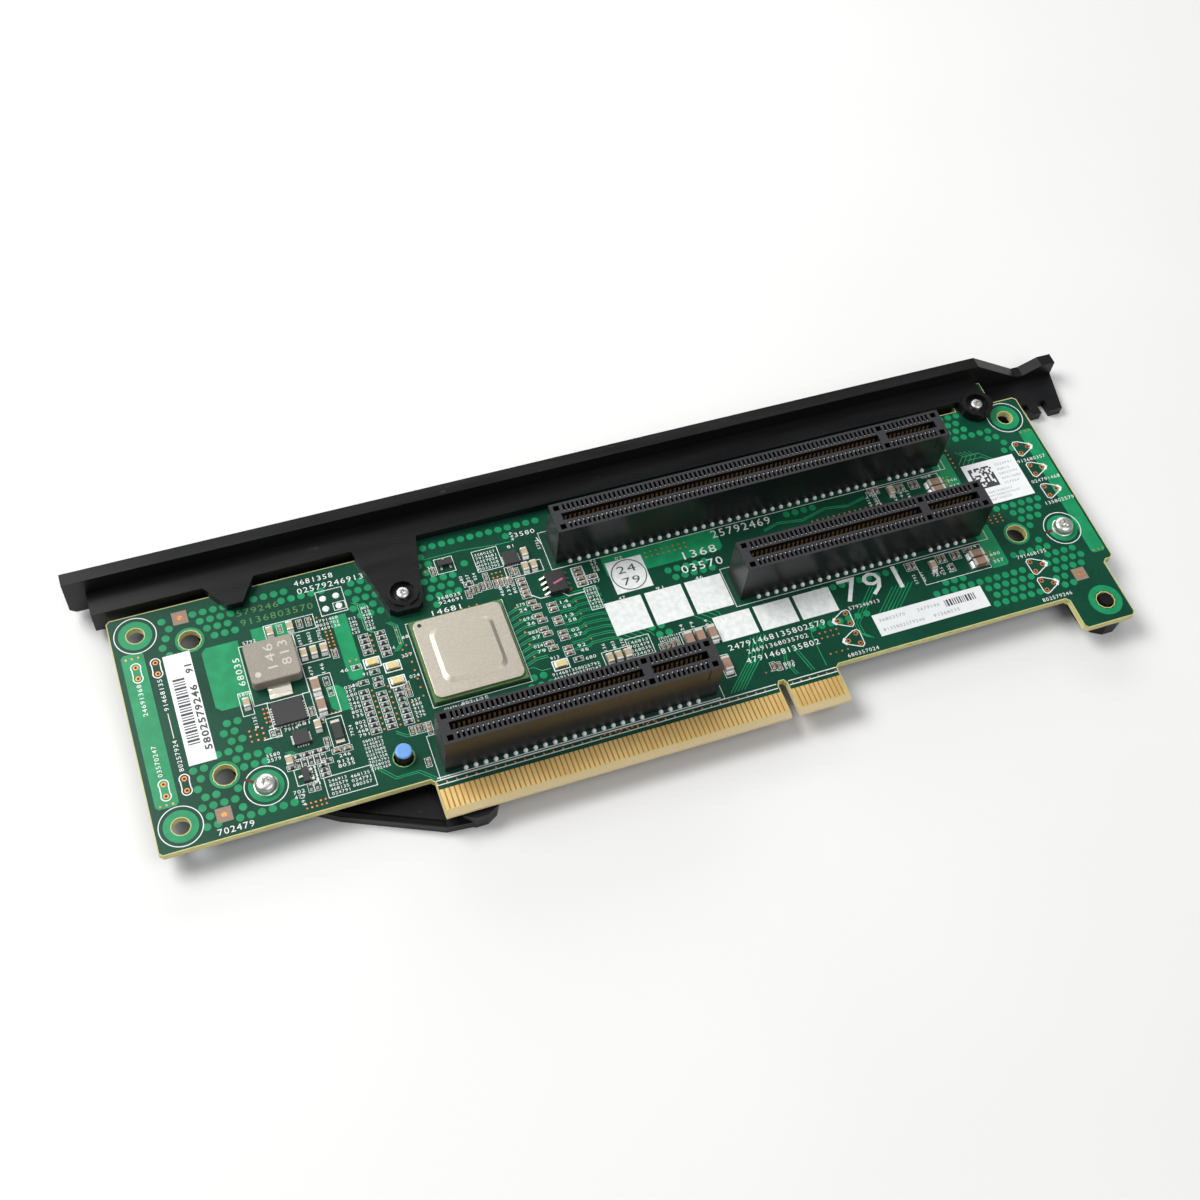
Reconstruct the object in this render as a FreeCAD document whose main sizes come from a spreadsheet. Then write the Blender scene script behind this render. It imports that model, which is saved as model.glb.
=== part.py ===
import math
import os

import FreeCAD
import Part
import Sketcher

# A PCI Express riser card: a long green circuit board with a gold edge connector along its
# near side, three card sockets standing on it, and a black plastic carrier along its far side.
# Millimetres. The origin is the middle of the connector's key notch, at the inner end of its
# gold contacts, on the upper face of the board. X runs along the contacts, Y from the contacts
# towards the carrier, Z up through the sockets.

Placement = FreeCAD.Placement
Rotation = FreeCAD.Rotation
Vector = FreeCAD.Vector

document = FreeCAD.newDocument("pcie_riser_card")
sheet = document.addObject("Spreadsheet::Sheet", "dimensions")


class Size:
    """A length in mm that knows both its value and the spreadsheet formula that drives it."""

    rows_used = 0

    def __init__(self, value, formula):
        self.value = value
        self.formula = formula

    def joined(self, other, sign, value):
        return Size(value, f"({self.formula} {sign} {as_size(other).formula})")

    def __add__(self, other):
        return self.joined(other, "+", self.value + as_size(other).value)

    def __sub__(self, other):
        return self.joined(other, "-", self.value - as_size(other).value)

    def __mul__(self, other):
        return self.joined(other, "*", self.value * as_size(other).value)

    def __truediv__(self, other):
        return self.joined(other, "/", self.value / as_size(other).value)

    def __neg__(self):
        return as_size(0) - self


def as_size(number):
    """A plain number becomes a Size whose formula is that number."""
    if isinstance(number, Size):
        return number
    return Size(number, f"({number})")


def size(name, value):
    """Write one driving dimension into the spreadsheet and return it."""
    Size.rows_used += 1
    row = Size.rows_used
    sheet.set(f"A{row}", name)
    sheet.set(f"B{row}", f"{value}")
    sheet.setAlias(f"B{row}", name)
    sheet.recompute()
    return Size(value, f"dimensions.{name}")


def bind(item, property_name, length):
    """Set a property of a document object and tie it to the spreadsheet."""
    length = as_size(length)
    item.setExpression(property_name, length.formula)


def new_body(label):
    body = document.addObject("PartDesign::Body", label)
    body.Label = label
    return body


def sketch_on(body, role, name, height=0):
    """An empty sketch on one of the body's own origin planes, lifted by height."""
    plane = next(item for item in body.Origin.OriginFeatures if item.Role == role)
    sketch = body.newObject("Sketcher::SketchObject", name)
    sketch.AttachmentSupport = (plane, "")
    sketch.MapMode = "FlatFace"
    sketch.AttachmentOffset = Placement(Vector(0, 0, as_size(height).value), Rotation())
    bind(sketch, "AttachmentOffset.Base.z", height)
    return sketch


def tie(sketch, kind, geometry, point, length):
    """Hold one point of a sketch at a driven distance from the sketch's origin."""
    length = as_size(length)
    index = sketch.addConstraint(Sketcher.Constraint(kind, -1, 1, geometry, point, length.value))
    sketch.renameConstraint(index, f"{kind}{index}")
    sketch.setExpression(f"Constraints.{kind}{index}", length.formula)


def add_outline(sketch, corners):
    """Draw a closed chain of straight edges through the corners, each tied to its sizes."""
    corners = [(as_size(across), as_size(along)) for across, along in corners]
    first = sketch.GeometryCount
    count = len(corners)
    for index, (across, along) in enumerate(corners):
        next_across, next_along = corners[(index + 1) % count]
        start = Vector(across.value, along.value, 0)
        end = Vector(next_across.value, next_along.value, 0)
        sketch.addGeometry(Part.LineSegment(start, end), False)
    for index in range(count):
        following = first + (index + 1) % count
        sketch.addConstraint(Sketcher.Constraint("Coincident", first + index, 2, following, 1))
    for index, (across, along) in enumerate(corners):
        tie(sketch, "DistanceX", first + index, 1, across)
        tie(sketch, "DistanceY", first + index, 1, along)


def rectangle(left, right, near, far):
    return [(left, near), (right, near), (right, far), (left, far)]


def many_sided(across, along, radius, sides):
    """The corners of a regular polygon, in place of a small circle whose roundness is not felt."""
    turns = [2 * math.pi * (index + 0.5) / sides for index in range(sides)]
    return [
        (across + radius * round(math.cos(turn), 5), along + radius * round(math.sin(turn), 5))
        for turn in turns
    ]


def soft_rectangle(left, right, near, far, radius):
    """A rectangle whose corners are each turned in two straight steps."""
    centres = [
        (right - radius, far - radius, 0),
        (left + radius, far - radius, 90),
        (left + radius, near + radius, 180),
        (right - radius, near + radius, 270),
    ]
    corners = []
    for across, along, start in centres:
        for turn in (start, start + 45, start + 90):
            angle = math.radians(turn)
            corners.append((across + radius * round(math.cos(angle), 5),
                            along + radius * round(math.sin(angle), 5)))
    return corners


def add_circle(sketch, across, along, radius):
    across, along, radius = as_size(across), as_size(along), as_size(radius)
    centre = Vector(across.value, along.value, 0)
    circle = Part.Circle(centre, Vector(0, 0, 1), radius.value)
    index = sketch.addGeometry(circle, False)
    tie(sketch, "DistanceX", index, 3, across)
    tie(sketch, "DistanceY", index, 3, along)
    held = sketch.addConstraint(Sketcher.Constraint("Radius", index, radius.value))
    sketch.renameConstraint(held, f"Radius{held}")
    sketch.setExpression(f"Constraints.Radius{held}", radius.formula)


def add_pad(body, sketch, name, depth):
    pad = body.newObject("PartDesign::Pad", name)
    pad.Profile = sketch
    bind(pad, "Length", depth)
    body.Tip = pad
    return pad


def add_pocket(body, sketch, name, depth, both_ways=False):
    """Cut downwards through the sketch's plane, or half the depth to each side of it."""
    pocket = body.newObject("PartDesign::Pocket", name)
    pocket.Profile = sketch
    pocket.Midplane = both_ways
    bind(pocket, "Length", depth)
    body.Tip = pocket
    return pocket


def add_row(body, feature, name, pitch, count):
    """Repeat a feature along X, which is the horizontal axis of the origin's XY plane."""
    axis = next(item for item in body.Origin.OriginFeatures if item.Role == "X_Axis")
    row = body.newObject("PartDesign::LinearPattern", name)
    row.Originals = [feature]
    row.Direction = (axis, [""])
    row.Mode = "Spacing"
    row.Occurrences = count
    bind(row, "Offset", pitch)
    body.Tip = row
    return row


def chamfer_edges(body, name, width, wanted):
    """Chamfer the edges of the body's last feature that pass the test."""
    document.recompute()
    base = body.Tip
    edges = [f"Edge{number}" for number, edge in enumerate(base.Shape.Edges, 1) if wanted(edge)]
    chamfer = body.newObject("PartDesign::Chamfer", name)
    chamfer.Base = (base, edges)
    bind(chamfer, "Size", width)
    body.Tip = chamfer
    return chamfer


def upright_at(places):
    """A test for vertical edges that stand at one of the places, given as pairs of sizes."""
    spots = [(as_size(across).value, as_size(along).value) for across, along in places]

    def test(edge):
        box = edge.BoundBox
        if box.XLength > 0.01 or box.YLength > 0.01:
            return False
        return any(abs(box.XMin - x) < 0.02 and abs(box.YMin - y) < 0.02 for x, y in spots)

    return test


def add_box(name, left, right, near, far, bottom, height):
    """A plain block given by its plan and its height above bottom."""
    box = document.addObject("Part::Box", name)
    left, right, near, far = as_size(left), as_size(right), as_size(near), as_size(far)
    bind(box, "Length", right - left)
    bind(box, "Width", far - near)
    bind(box, "Height", height)
    bind(box, "Placement.Base.x", left)
    bind(box, "Placement.Base.y", near)
    bind(box, "Placement.Base.z", bottom)
    return box


def add_group(label, members):
    """Separate solids that share one node."""
    group = document.addObject("Part::Compound", label)
    group.Label = label
    group.Links = members
    return group


parts = []

# ---------------------------------------------------------------------------------------------
# The circuit board: 1.57 mm laminate. Its near side carries the tongue of a sixteen-lane edge
# connector with a key notch, and a foot at the right end; its far side has two low tabs that
# slide into the carrier.

board_thickness = size("board_thickness", 1.57)
board_left = size("board_left", -124.1)
board_right = size("board_right", 81.1)
board_near = size("board_near", 2.5)
board_far = size("board_far", 54.9)
board_underside = -board_thickness

tongue_left = size("tongue_left", -72.15)
tongue_right = size("tongue_right", 12.15)
tongue_tip = size("tongue_tip", -5.7)
notch_width = size("notch_width", 1.9)
notch_centre_y = size("notch_centre_y", 1.55)
bevel_length = size("bevel_length", 1.2)
bevel_depth = size("bevel_depth", 0.45)

foot_left = size("foot_left", 66.4)
foot_right = size("foot_right", 78.5)
foot_tip = size("foot_tip", -5.3)
step_y = size("step_y", 9.0)

long_tab_left = size("long_tab_left", -61.0)
long_tab_right = size("long_tab_right", 58.5)
long_tab_depth = size("long_tab_depth", 3.5)
end_tab_left = size("end_tab_left", 65.8)
end_tab_right = size("end_tab_right", 74.9)
end_tab_depth = size("end_tab_depth", 6.1)
board_corner = size("board_corner", 0.7)

ring_hole_radius = size("ring_hole_radius", 1.72)
plain_hole_radius = size("plain_hole_radius", 2.15)
peg_hole_radius = size("peg_hole_radius", 1.95)
pin_hole_radius = size("pin_hole_radius", 2.05)
left_holes_x = size("left_holes_x", -119.1)
left_near_hole_y = size("left_near_hole_y", 7.35)
left_far_hole_y = size("left_far_hole_y", 50.1)
right_far_hole_x = size("right_far_hole_x", 76.0)
right_far_hole_y = size("right_far_hole_y", 50.1)
left_plain_holes_x = size("left_plain_holes_x", -109.2)
near_plain_hole_y = size("near_plain_hole_y", 15.2)
far_plain_hole_y = size("far_plain_hole_y", 46.1)
right_plain_hole_x = size("right_plain_hole_x", 63.5)
right_plain_hole_y = size("right_plain_hole_y", 20.6)
peg_x = size("peg_x", 73.9)
peg_y = size("peg_y", -0.2)
pin_x = size("pin_x", -76.3)
pin_y = size("pin_y", 8.7)

left_screw_x = size("left_screw_x", -102.4)
left_screw_y = size("left_screw_y", 10.7)
right_screw_x = size("right_screw_x", 73.9)
right_screw_y = size("right_screw_y", 19.0)
board_screw_hole_radius = size("board_screw_hole_radius", 1.6)
left_small_screw_x = size("left_small_screw_x", -66.6)
left_small_screw_y = size("left_small_screw_y", 43.3)
right_small_screw_x = size("right_small_screw_x", 70.3)
right_small_screw_y = size("right_small_screw_y", 54.2)
small_screw_hole_radius = size("small_screw_hole_radius", 1.1)

board_outline = [
    (board_left, board_near),
    (tongue_left, board_near),
    (tongue_left, tongue_tip),
    (tongue_right, tongue_tip),
    (tongue_right, board_near),
    (foot_left, board_near),
    (foot_left, foot_tip),
    (foot_right, foot_tip),
    (foot_right, step_y),
    (board_right, step_y),
    (board_right, board_far),
    (end_tab_right, board_far),
    (end_tab_right, board_far + end_tab_depth),
    (end_tab_left, board_far + end_tab_depth),
    (end_tab_left, board_far),
    (long_tab_right, board_far),
    (long_tab_right, board_far + long_tab_depth),
    (long_tab_left, board_far + long_tab_depth),
    (long_tab_left, board_far),
    (board_left, board_far),
]

fixing_holes = [
    (left_holes_x, left_near_hole_y),
    (left_holes_x, left_far_hole_y),
]
clearance_holes = [
    (right_far_hole_x, right_far_hole_y, ring_hole_radius, 12),
    (left_plain_holes_x, near_plain_hole_y, plain_hole_radius, 12),
    (left_plain_holes_x, far_plain_hole_y, plain_hole_radius, 12),
    (right_plain_hole_x, right_plain_hole_y, plain_hole_radius, 12),
    (peg_x, peg_y, peg_hole_radius, 10),
    (pin_x, pin_y, pin_hole_radius, 12),
    (left_screw_x, left_screw_y, board_screw_hole_radius, 6),
    (right_screw_x, right_screw_y, board_screw_hole_radius, 6),
    (left_small_screw_x, left_small_screw_y, small_screw_hole_radius, 6),
    (right_small_screw_x, right_small_screw_y, small_screw_hole_radius, 6),
]


def make_circuit_board():
    body = new_body("circuit_board")
    plan = sketch_on(body, "XY_Plane", "board_plan", board_underside)
    add_outline(plan, board_outline)
    add_pad(body, plan, "board_laminate", board_thickness)

    cut_corners = [
        (board_left, board_near),
        (tongue_left, board_near),
        (tongue_right, board_near),
        (foot_left, board_near),
        (foot_left, foot_tip),
        (foot_right, foot_tip),
        (foot_right, step_y),
        (board_right, step_y),
        (board_right, board_far),
        (board_left, board_far),
    ]
    chamfer_edges(body, "board_corners", board_corner, upright_at(cut_corners))

    holes = sketch_on(body, "XY_Plane", "board_hole_plan")
    for across, along in fixing_holes:
        add_circle(holes, across, along, ring_hole_radius)
    for across, along, radius, sides in clearance_holes:
        add_outline(holes, many_sided(across, along, radius, sides))
    add_pocket(body, holes, "board_holes", board_thickness)

    notch = sketch_on(body, "XY_Plane", "notch_plan")
    half_notch = notch_width / 2
    notch_end = [
        (half_notch * round(math.cos(math.radians(turn)), 5),
         notch_centre_y + half_notch * round(math.sin(math.radians(turn)), 5))
        for turn in range(0, 181, 60)
    ]
    add_outline(notch, [(-half_notch, tongue_tip), (half_notch, tongue_tip)] + notch_end)
    add_pocket(body, notch, "key_notch", board_thickness)

    # The tip is bevelled on both faces, so that it slides between the contacts of its socket.
    bevel = sketch_on(body, "YZ_Plane", "bevel_profile", (tongue_left + tongue_right) / 2)
    bevel_start = tongue_tip + bevel_length
    add_outline(bevel, [(tongue_tip, 0), (bevel_start, 0), (tongue_tip, -bevel_depth)])
    lower_bevel = board_underside + bevel_depth
    add_outline(bevel, [
        (tongue_tip, board_underside),
        (tongue_tip, lower_bevel),
        (bevel_start, board_underside),
    ])
    add_pocket(body, bevel, "tip_bevels", tongue_right - tongue_left, both_ways=True)
    return body


parts.append(make_circuit_board())

# ---------------------------------------------------------------------------------------------
# The gold contacts of the edge connector: 11 to the right of the key notch and 71 to its left,
# 1 mm apart. The ones on the underside mirror these and are drawn by the visual model.

contact_pitch = size("contact_pitch", 1.0)
finger_width = size("finger_width", 0.7)
finger_length = size("finger_length", 4.4)
finger_thickness = size("finger_thickness", 0.05)
finger_start_right = size("finger_start_right", 1.5)
finger_start_left = size("finger_start_left", 1.5)
short_side_count = 11
long_side_count = 71


def make_edge_contacts():
    body = new_body("edge_contacts")
    far_left = -finger_start_left - contact_pitch * (long_side_count - 1)
    runs = [("left", far_left, long_side_count), ("right", finger_start_right, short_side_count)]
    for run_name, centre, count in runs:
        plan = sketch_on(body, "XY_Plane", f"{run_name}_contact_plan")
        left = centre - finger_width / 2
        add_outline(plan, rectangle(left, left + finger_width, -finger_length, 0))
        pad = add_pad(body, plan, f"{run_name}_contact", finger_thickness)
        add_row(body, pad, f"{run_name}_contacts", contact_pitch, count)
    return body


parts.append(make_edge_contacts())

# ---------------------------------------------------------------------------------------------
# The card sockets. A moulded bar holds two rows of contacts 1 mm apart, on either side of the
# card slot. A key rib crosses the slot between the long run of contacts and the short one. Each
# contact sits under a narrow window in the top; square core holes stand at the ends and the key.

socket_height = size("socket_height", 11.2)
socket_depth = size("socket_depth", 7.0)
socket_end_margin = size("socket_end_margin", 3.0)
socket_key_gap = size("socket_key_gap", 3.0)
slot_width = size("slot_width", 1.7)
slot_depth = size("slot_depth", 8.2)
slot_end_margin = size("slot_end_margin", 1.95)
slot_past_contact = size("slot_past_contact", 0.55)
window_width = size("window_width", 0.5)
window_reach = size("window_reach", 2.95)
window_inner = size("window_inner", 1.35)
window_depth = size("window_depth", 6.5)
core_hole_size = size("core_hole_size", 1.2)
core_hole_end = size("core_hole_end", 1.4)
core_hole_depth = size("core_hole_depth", 4.0)
spring_width = size("spring_width", 0.46)
spring_top = size("spring_top", 1.2)
spring_bend = size("spring_bend", 3.2)
spring_foot = size("spring_foot", 6.6)
spring_reach = size("spring_reach", 0.5)

x8_left_x = size("x8_left_x", -69.7)
x8_left_y = size("x8_left_y", 3.3)
x8_right_x = size("x8_right_x", -0.6)
x8_right_y = size("x8_right_y", 22.5)
x16_x = size("x16_x", -34.1)
x16_y = size("x16_y", 42.2)
x8_long_count = 38
x16_long_count = 71


class Socket:
    """The plan of one socket, worked out from its left near corner and its contact count."""

    def __init__(self, left, near, long_count):
        self.left = left
        self.near = near
        self.long_count = long_count
        self.middle = near + socket_depth / 2
        self.first_long = left + socket_end_margin
        self.last_long = self.first_long + contact_pitch * (long_count - 1)
        self.first_short = self.last_long + socket_key_gap
        self.last_short = self.first_short + contact_pitch * (short_side_count - 1)
        self.right = self.last_short + socket_end_margin
        self.far = near + socket_depth
        self.key_middle = self.last_long + socket_key_gap / 2

    def runs(self):
        return [
            ("long", self.first_long, self.long_count),
            ("short", self.first_short, short_side_count),
        ]


def make_socket_housing(label, socket):
    body = new_body(label)
    plan = sketch_on(body, "XY_Plane", f"{label}_plan")
    add_outline(plan, rectangle(socket.left, socket.right, socket.near, socket.far))
    add_pad(body, plan, f"{label}_bar", socket_height)

    slots = sketch_on(body, "XY_Plane", f"{label}_slot_plan", socket_height)
    slot_near = socket.middle - slot_width / 2
    slot_far = socket.middle + slot_width / 2
    long_end = socket.last_long + slot_past_contact
    short_start = socket.first_short - slot_past_contact
    add_outline(slots, rectangle(socket.left + slot_end_margin, long_end, slot_near, slot_far))
    add_outline(slots, rectangle(short_start, socket.right - slot_end_margin, slot_near, slot_far))
    add_pocket(body, slots, f"{label}_card_slot", slot_depth)

    cores = sketch_on(body, "XY_Plane", f"{label}_core_plan", socket_height)
    core_places = [socket.left + core_hole_end, socket.key_middle, socket.right - core_hole_end]
    half_core = core_hole_size / 2
    for centre in core_places:
        near_core = socket.middle - window_reach
        far_core = socket.middle + window_reach - core_hole_size
        for near in (near_core, far_core):
            corners = rectangle(centre - half_core, centre + half_core, near, near + core_hole_size)
            add_outline(cores, corners)
    add_pocket(body, cores, f"{label}_core_holes", core_hole_depth)

    # A window drops straight down along its outer wall and its floor slopes up to the slot's
    # side, which is how the moulding guides the contact's tip.
    for run_name, first, count in socket.runs():
        name = f"{label}_{run_name}"
        profile = sketch_on(body, "YZ_Plane", f"{name}_window_profile", first)
        for side in (-1, 1):
            outer = socket.middle + window_reach * side
            inner = socket.middle + window_inner * side
            top = socket_height
            add_outline(profile, [(outer, top), (inner, top), (outer, top - window_depth)])
        window = add_pocket(body, profile, f"{name}_window", window_width, both_ways=True)
        add_row(body, window, f"{name}_windows", contact_pitch, count)
    return body


def make_socket_contacts(label, socket):
    """Bent springs that lean out of both walls of the card slot."""
    body = new_body(label)
    for run_name, first, count in socket.runs():
        name = f"{label}_{run_name}"
        profile = sketch_on(body, "YZ_Plane", f"{name}_spring_profile", first)
        for side in (-1, 1):
            wall = socket.middle + slot_width / 2 * side
            bend = socket.middle + (slot_width / 2 - spring_reach) * side
            add_outline(profile, [
                (wall, socket_height - spring_top),
                (bend, socket_height - spring_bend),
                (wall, socket_height - spring_foot),
            ])
        spring = add_pad(body, profile, f"{name}_spring", spring_width)
        spring.Midplane = True
        add_row(body, spring, f"{name}_springs", contact_pitch, count)
    return body


sockets = [
    ("x16_socket", Socket(x16_x, x16_y, x16_long_count)),
    ("x8_left_socket", Socket(x8_left_x, x8_left_y, x8_long_count)),
    ("x8_right_socket", Socket(x8_right_x, x8_right_y, x8_long_count)),
]
for socket_name, socket_plan in sockets:
    parts.append(make_socket_housing(f"{socket_name}_housing", socket_plan))
    parts.append(make_socket_contacts(f"{socket_name}_contacts", socket_plan))

# ---------------------------------------------------------------------------------------------
# The switch chip: a square laminate substrate with a stamped metal lid, whose middle stands up
# over the die behind wide sloping sides.

chip_left = size("chip_left", -67.4)
chip_near = size("chip_near", 17.6)
chip_width = size("chip_width", 19.3)
chip_depth = size("chip_depth", 19.0)
substrate_height = size("substrate_height", 1.1)
lid_inset = size("lid_inset", 0.45)
lid_height = size("lid_height", 0.55)
lid_corner_radius = size("lid_corner_radius", 1.6)
lid_rise = size("lid_rise", 0.5)
lid_rise_inset = size("lid_rise_inset", 2.3)
lid_slope = size("lid_slope", 0.9)


def make_switch_chip():
    substrate = add_box("switch_chip_substrate", chip_left, chip_left + chip_width, chip_near,
                        chip_near + chip_depth, 0, substrate_height)

    lid = new_body("switch_chip_lid")
    left = chip_left + lid_inset
    right = chip_left + chip_width - lid_inset
    near = chip_near + lid_inset
    far = chip_near + chip_depth - lid_inset
    rim = sketch_on(lid, "XY_Plane", "lid_rim_plan", substrate_height)
    add_outline(rim, soft_rectangle(left, right, near, far, lid_corner_radius))
    add_pad(lid, rim, "lid_rim", lid_height)

    foot_plan = sketch_on(lid, "XY_Plane", "lid_rise_foot_plan", substrate_height + lid_height)
    foot = lid_rise_inset
    add_outline(foot_plan, rectangle(left + foot, right - foot, near + foot, far - foot))
    crown_height = substrate_height + lid_height + lid_rise
    crown_plan = sketch_on(lid, "XY_Plane", "lid_rise_crown_plan", crown_height)
    crown = lid_rise_inset + lid_slope
    add_outline(crown_plan, rectangle(left + crown, right - crown, near + crown, far - crown))
    rise = lid.newObject("PartDesign::AdditiveLoft", "lid_rise")
    rise.Profile = foot_plan
    rise.Sections = [crown_plan]
    rise.Ruled = True
    lid.Tip = rise
    return [substrate, lid]


parts.extend(make_switch_chip())

# ---------------------------------------------------------------------------------------------
# The small power supply at the left: a moulded choke on two broad tinned leads, a power stage
# below it and its control chip.

choke_left = size("choke_left", -100.0)
choke_near = size("choke_near", 30.9)
choke_width = size("choke_width", 9.85)
choke_depth = size("choke_depth", 9.4)
choke_height = size("choke_height", 2.6)
choke_lift = size("choke_lift", 0.15)
choke_corner_radius = size("choke_corner_radius", 0.8)
choke_lead_width = size("choke_lead_width", 4.5)
choke_lead_reach = size("choke_lead_reach", 2.7)
choke_far_lead_reach = size("choke_far_lead_reach", 1.4)
choke_lead_under = size("choke_lead_under", 2.0)


def make_choke():
    body = new_body("choke_body")
    right = choke_left + choke_width
    far = choke_near + choke_depth
    plan = sketch_on(body, "XY_Plane", "choke_plan", choke_lift)
    add_outline(plan, soft_rectangle(choke_left, right, choke_near, far, choke_corner_radius))
    add_pad(body, plan, "choke_block", choke_height)

    lead_left = choke_left + (choke_width - choke_lead_width) / 2
    lead_right = lead_left + choke_lead_width
    near_lead = add_box("choke_near_lead", lead_left, lead_right, choke_near - choke_lead_reach,
                        choke_near + choke_lead_under, 0, choke_lift)
    far_lead = add_box("choke_far_lead", lead_left, lead_right, far - choke_lead_under,
                       far + choke_far_lead_reach, 0, choke_lift)
    return [body, add_group("choke_leads", [near_lead, far_lead])]


parts.extend(make_choke())

flat_chip_height = size("flat_chip_height", 0.85)
power_stage_x = size("power_stage_x", -97.7)
power_stage_y = size("power_stage_y", 22.0)
power_stage_width = size("power_stage_width", 6.1)
power_stage_depth = size("power_stage_depth", 5.0)
control_chip_x = size("control_chip_x", -95.3)
control_chip_y = size("control_chip_y", 16.9)
control_chip_size = size("control_chip_size", 3.1)
regulator_x = size("regulator_x", -44.4)
regulator_y = size("regulator_y", 44.4)
regulator_size = size("regulator_size", 3.2)

parts.append(add_box("power_stage_chip", power_stage_x, power_stage_x + power_stage_width,
                     power_stage_y, power_stage_y + power_stage_depth, 0, flat_chip_height))
parts.append(add_box("control_chip", control_chip_x, control_chip_x + control_chip_size,
                     control_chip_y, control_chip_y + control_chip_size, 0, flat_chip_height))
parts.append(add_box("regulator_chip", regulator_x, regulator_x + regulator_size,
                     regulator_y, regulator_y + regulator_size, 0, flat_chip_height))

# ---------------------------------------------------------------------------------------------
# The memory chip: a moulded body on eight bent leads, four to a side.

memory_left = size("memory_left", -37.75)
memory_near = size("memory_near", 34.85)
memory_width = size("memory_width", 3.85)
memory_depth = size("memory_depth", 4.9)
memory_height = size("memory_height", 1.4)
memory_lift = size("memory_lift", 0.15)
memory_lead_pitch = size("memory_lead_pitch", 1.27)
memory_lead_width = size("memory_lead_width", 0.42)
memory_lead_reach = size("memory_lead_reach", 1.08)
memory_lead_foot = size("memory_lead_foot", 0.6)
memory_lead_thickness = size("memory_lead_thickness", 0.2)
memory_shoulder = size("memory_shoulder", 0.75)
memory_leads_per_side = 4


def make_memory_chip():
    right = memory_left + memory_width
    case = add_box("memory_chip_body", memory_left, right, memory_near,
                   memory_near + memory_depth, memory_lift, memory_height)

    leads = new_body("memory_chip_leads")
    run = memory_lead_pitch * (memory_leads_per_side - 1)
    first = memory_near + (memory_depth - run) / 2
    thick = memory_lead_thickness
    for index in range(memory_leads_per_side):
        centre = first + memory_lead_pitch * index
        # The XZ plane looks along -Y, so a sketch on it is lifted by the negative of Y.
        profile = sketch_on(leads, "XZ_Plane", f"memory_lead_profile_{index + 1}", -centre)
        for edge, out in ((memory_left, -1), (right, 1)):
            tip = edge + memory_lead_reach * out
            heel = edge + (memory_lead_reach - memory_lead_foot) * out
            add_outline(profile, [
                (edge, memory_shoulder),
                (heel, 0),
                (tip, 0),
                (tip, thick),
                (edge, memory_shoulder + thick),
            ])
        pad = add_pad(leads, profile, f"memory_lead_pair_{index + 1}", memory_lead_width)
        pad.Midplane = True
    return [case, leads]


parts.extend(make_memory_chip())

# ---------------------------------------------------------------------------------------------
# Two small transistors and a diode.

transistor_height = size("transistor_height", 0.95)
transistor_lead_thickness = size("transistor_lead_thickness", 0.3)
transistor_lead_width = size("transistor_lead_width", 0.45)
transistor_lead_reach = size("transistor_lead_reach", 0.75)
transistor_long = size("transistor_long", 2.9)
transistor_short = size("transistor_short", 1.3)
far_transistor_x = size("far_transistor_x", -57.6)
far_transistor_y = size("far_transistor_y", 48.1)
near_transistor_x = size("near_transistor_x", -95.5)
near_transistor_y = size("near_transistor_y", 9.0)
diode_x = size("diode_x", -87.7)
diode_y = size("diode_y", 15.9)
diode_width = size("diode_width", 1.7)
diode_length = size("diode_length", 3.4)
diode_height = size("diode_height", 1.0)
diode_terminal_reach = size("diode_terminal_reach", 0.85)
diode_terminal_height = size("diode_terminal_height", 0.5)


def make_transistors():
    far_case = add_box("far_transistor_case", far_transistor_x, far_transistor_x + transistor_long,
                       far_transistor_y, far_transistor_y + transistor_short, 0, transistor_height)
    near_case = add_box("near_transistor_case", near_transistor_x,
                        near_transistor_x + transistor_short, near_transistor_y,
                        near_transistor_y + transistor_long, 0, transistor_height)
    leads = []
    half = transistor_lead_width / 2
    quarter = transistor_long / 6
    pair = [quarter, transistor_long - quarter]
    single = [transistor_long / 2]
    for index, offset in enumerate(pair + single):
        toward = index < len(pair)
        centre = far_transistor_x + offset
        far_edge = far_transistor_y + transistor_short
        start = far_transistor_y - transistor_lead_reach if toward else far_edge
        leads.append(add_box(f"far_transistor_lead_{index + 1}", centre - half, centre + half,
                             start, start + transistor_lead_reach, 0, transistor_lead_thickness))
        centre = near_transistor_y + offset
        right_edge = near_transistor_x + transistor_short
        start = right_edge if toward else near_transistor_x - transistor_lead_reach
        leads.append(add_box(f"near_transistor_lead_{index + 1}", start,
                             start + transistor_lead_reach, centre - half, centre + half, 0,
                             transistor_lead_thickness))
    return [
        add_group("transistor_cases", [far_case, near_case]),
        add_group("transistor_leads", leads),
    ]


def make_diode():
    case = add_box("diode_case", diode_x, diode_x + diode_width, diode_y, diode_y + diode_length,
                   0, diode_height)
    near = add_box("diode_near_terminal", diode_x, diode_x + diode_width,
                   diode_y - diode_terminal_reach, diode_y, 0, diode_terminal_height)
    far_edge = diode_y + diode_length
    far = add_box("diode_far_terminal", diode_x, diode_x + diode_width, far_edge,
                  far_edge + diode_terminal_reach, 0, diode_terminal_height)
    return [case, add_group("diode_terminals", [near, far])]


parts.extend(make_transistors())
parts.extend(make_diode())

# ---------------------------------------------------------------------------------------------
# Ceramic capacitors in two sizes: a block between two tinned ends. Each entry gives the middle
# of one capacitor and whether its length runs along X or along Y. The medium ones are the three
# beside the choke; the rest of that size, and all smaller ones, are left to the visual model.

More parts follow.
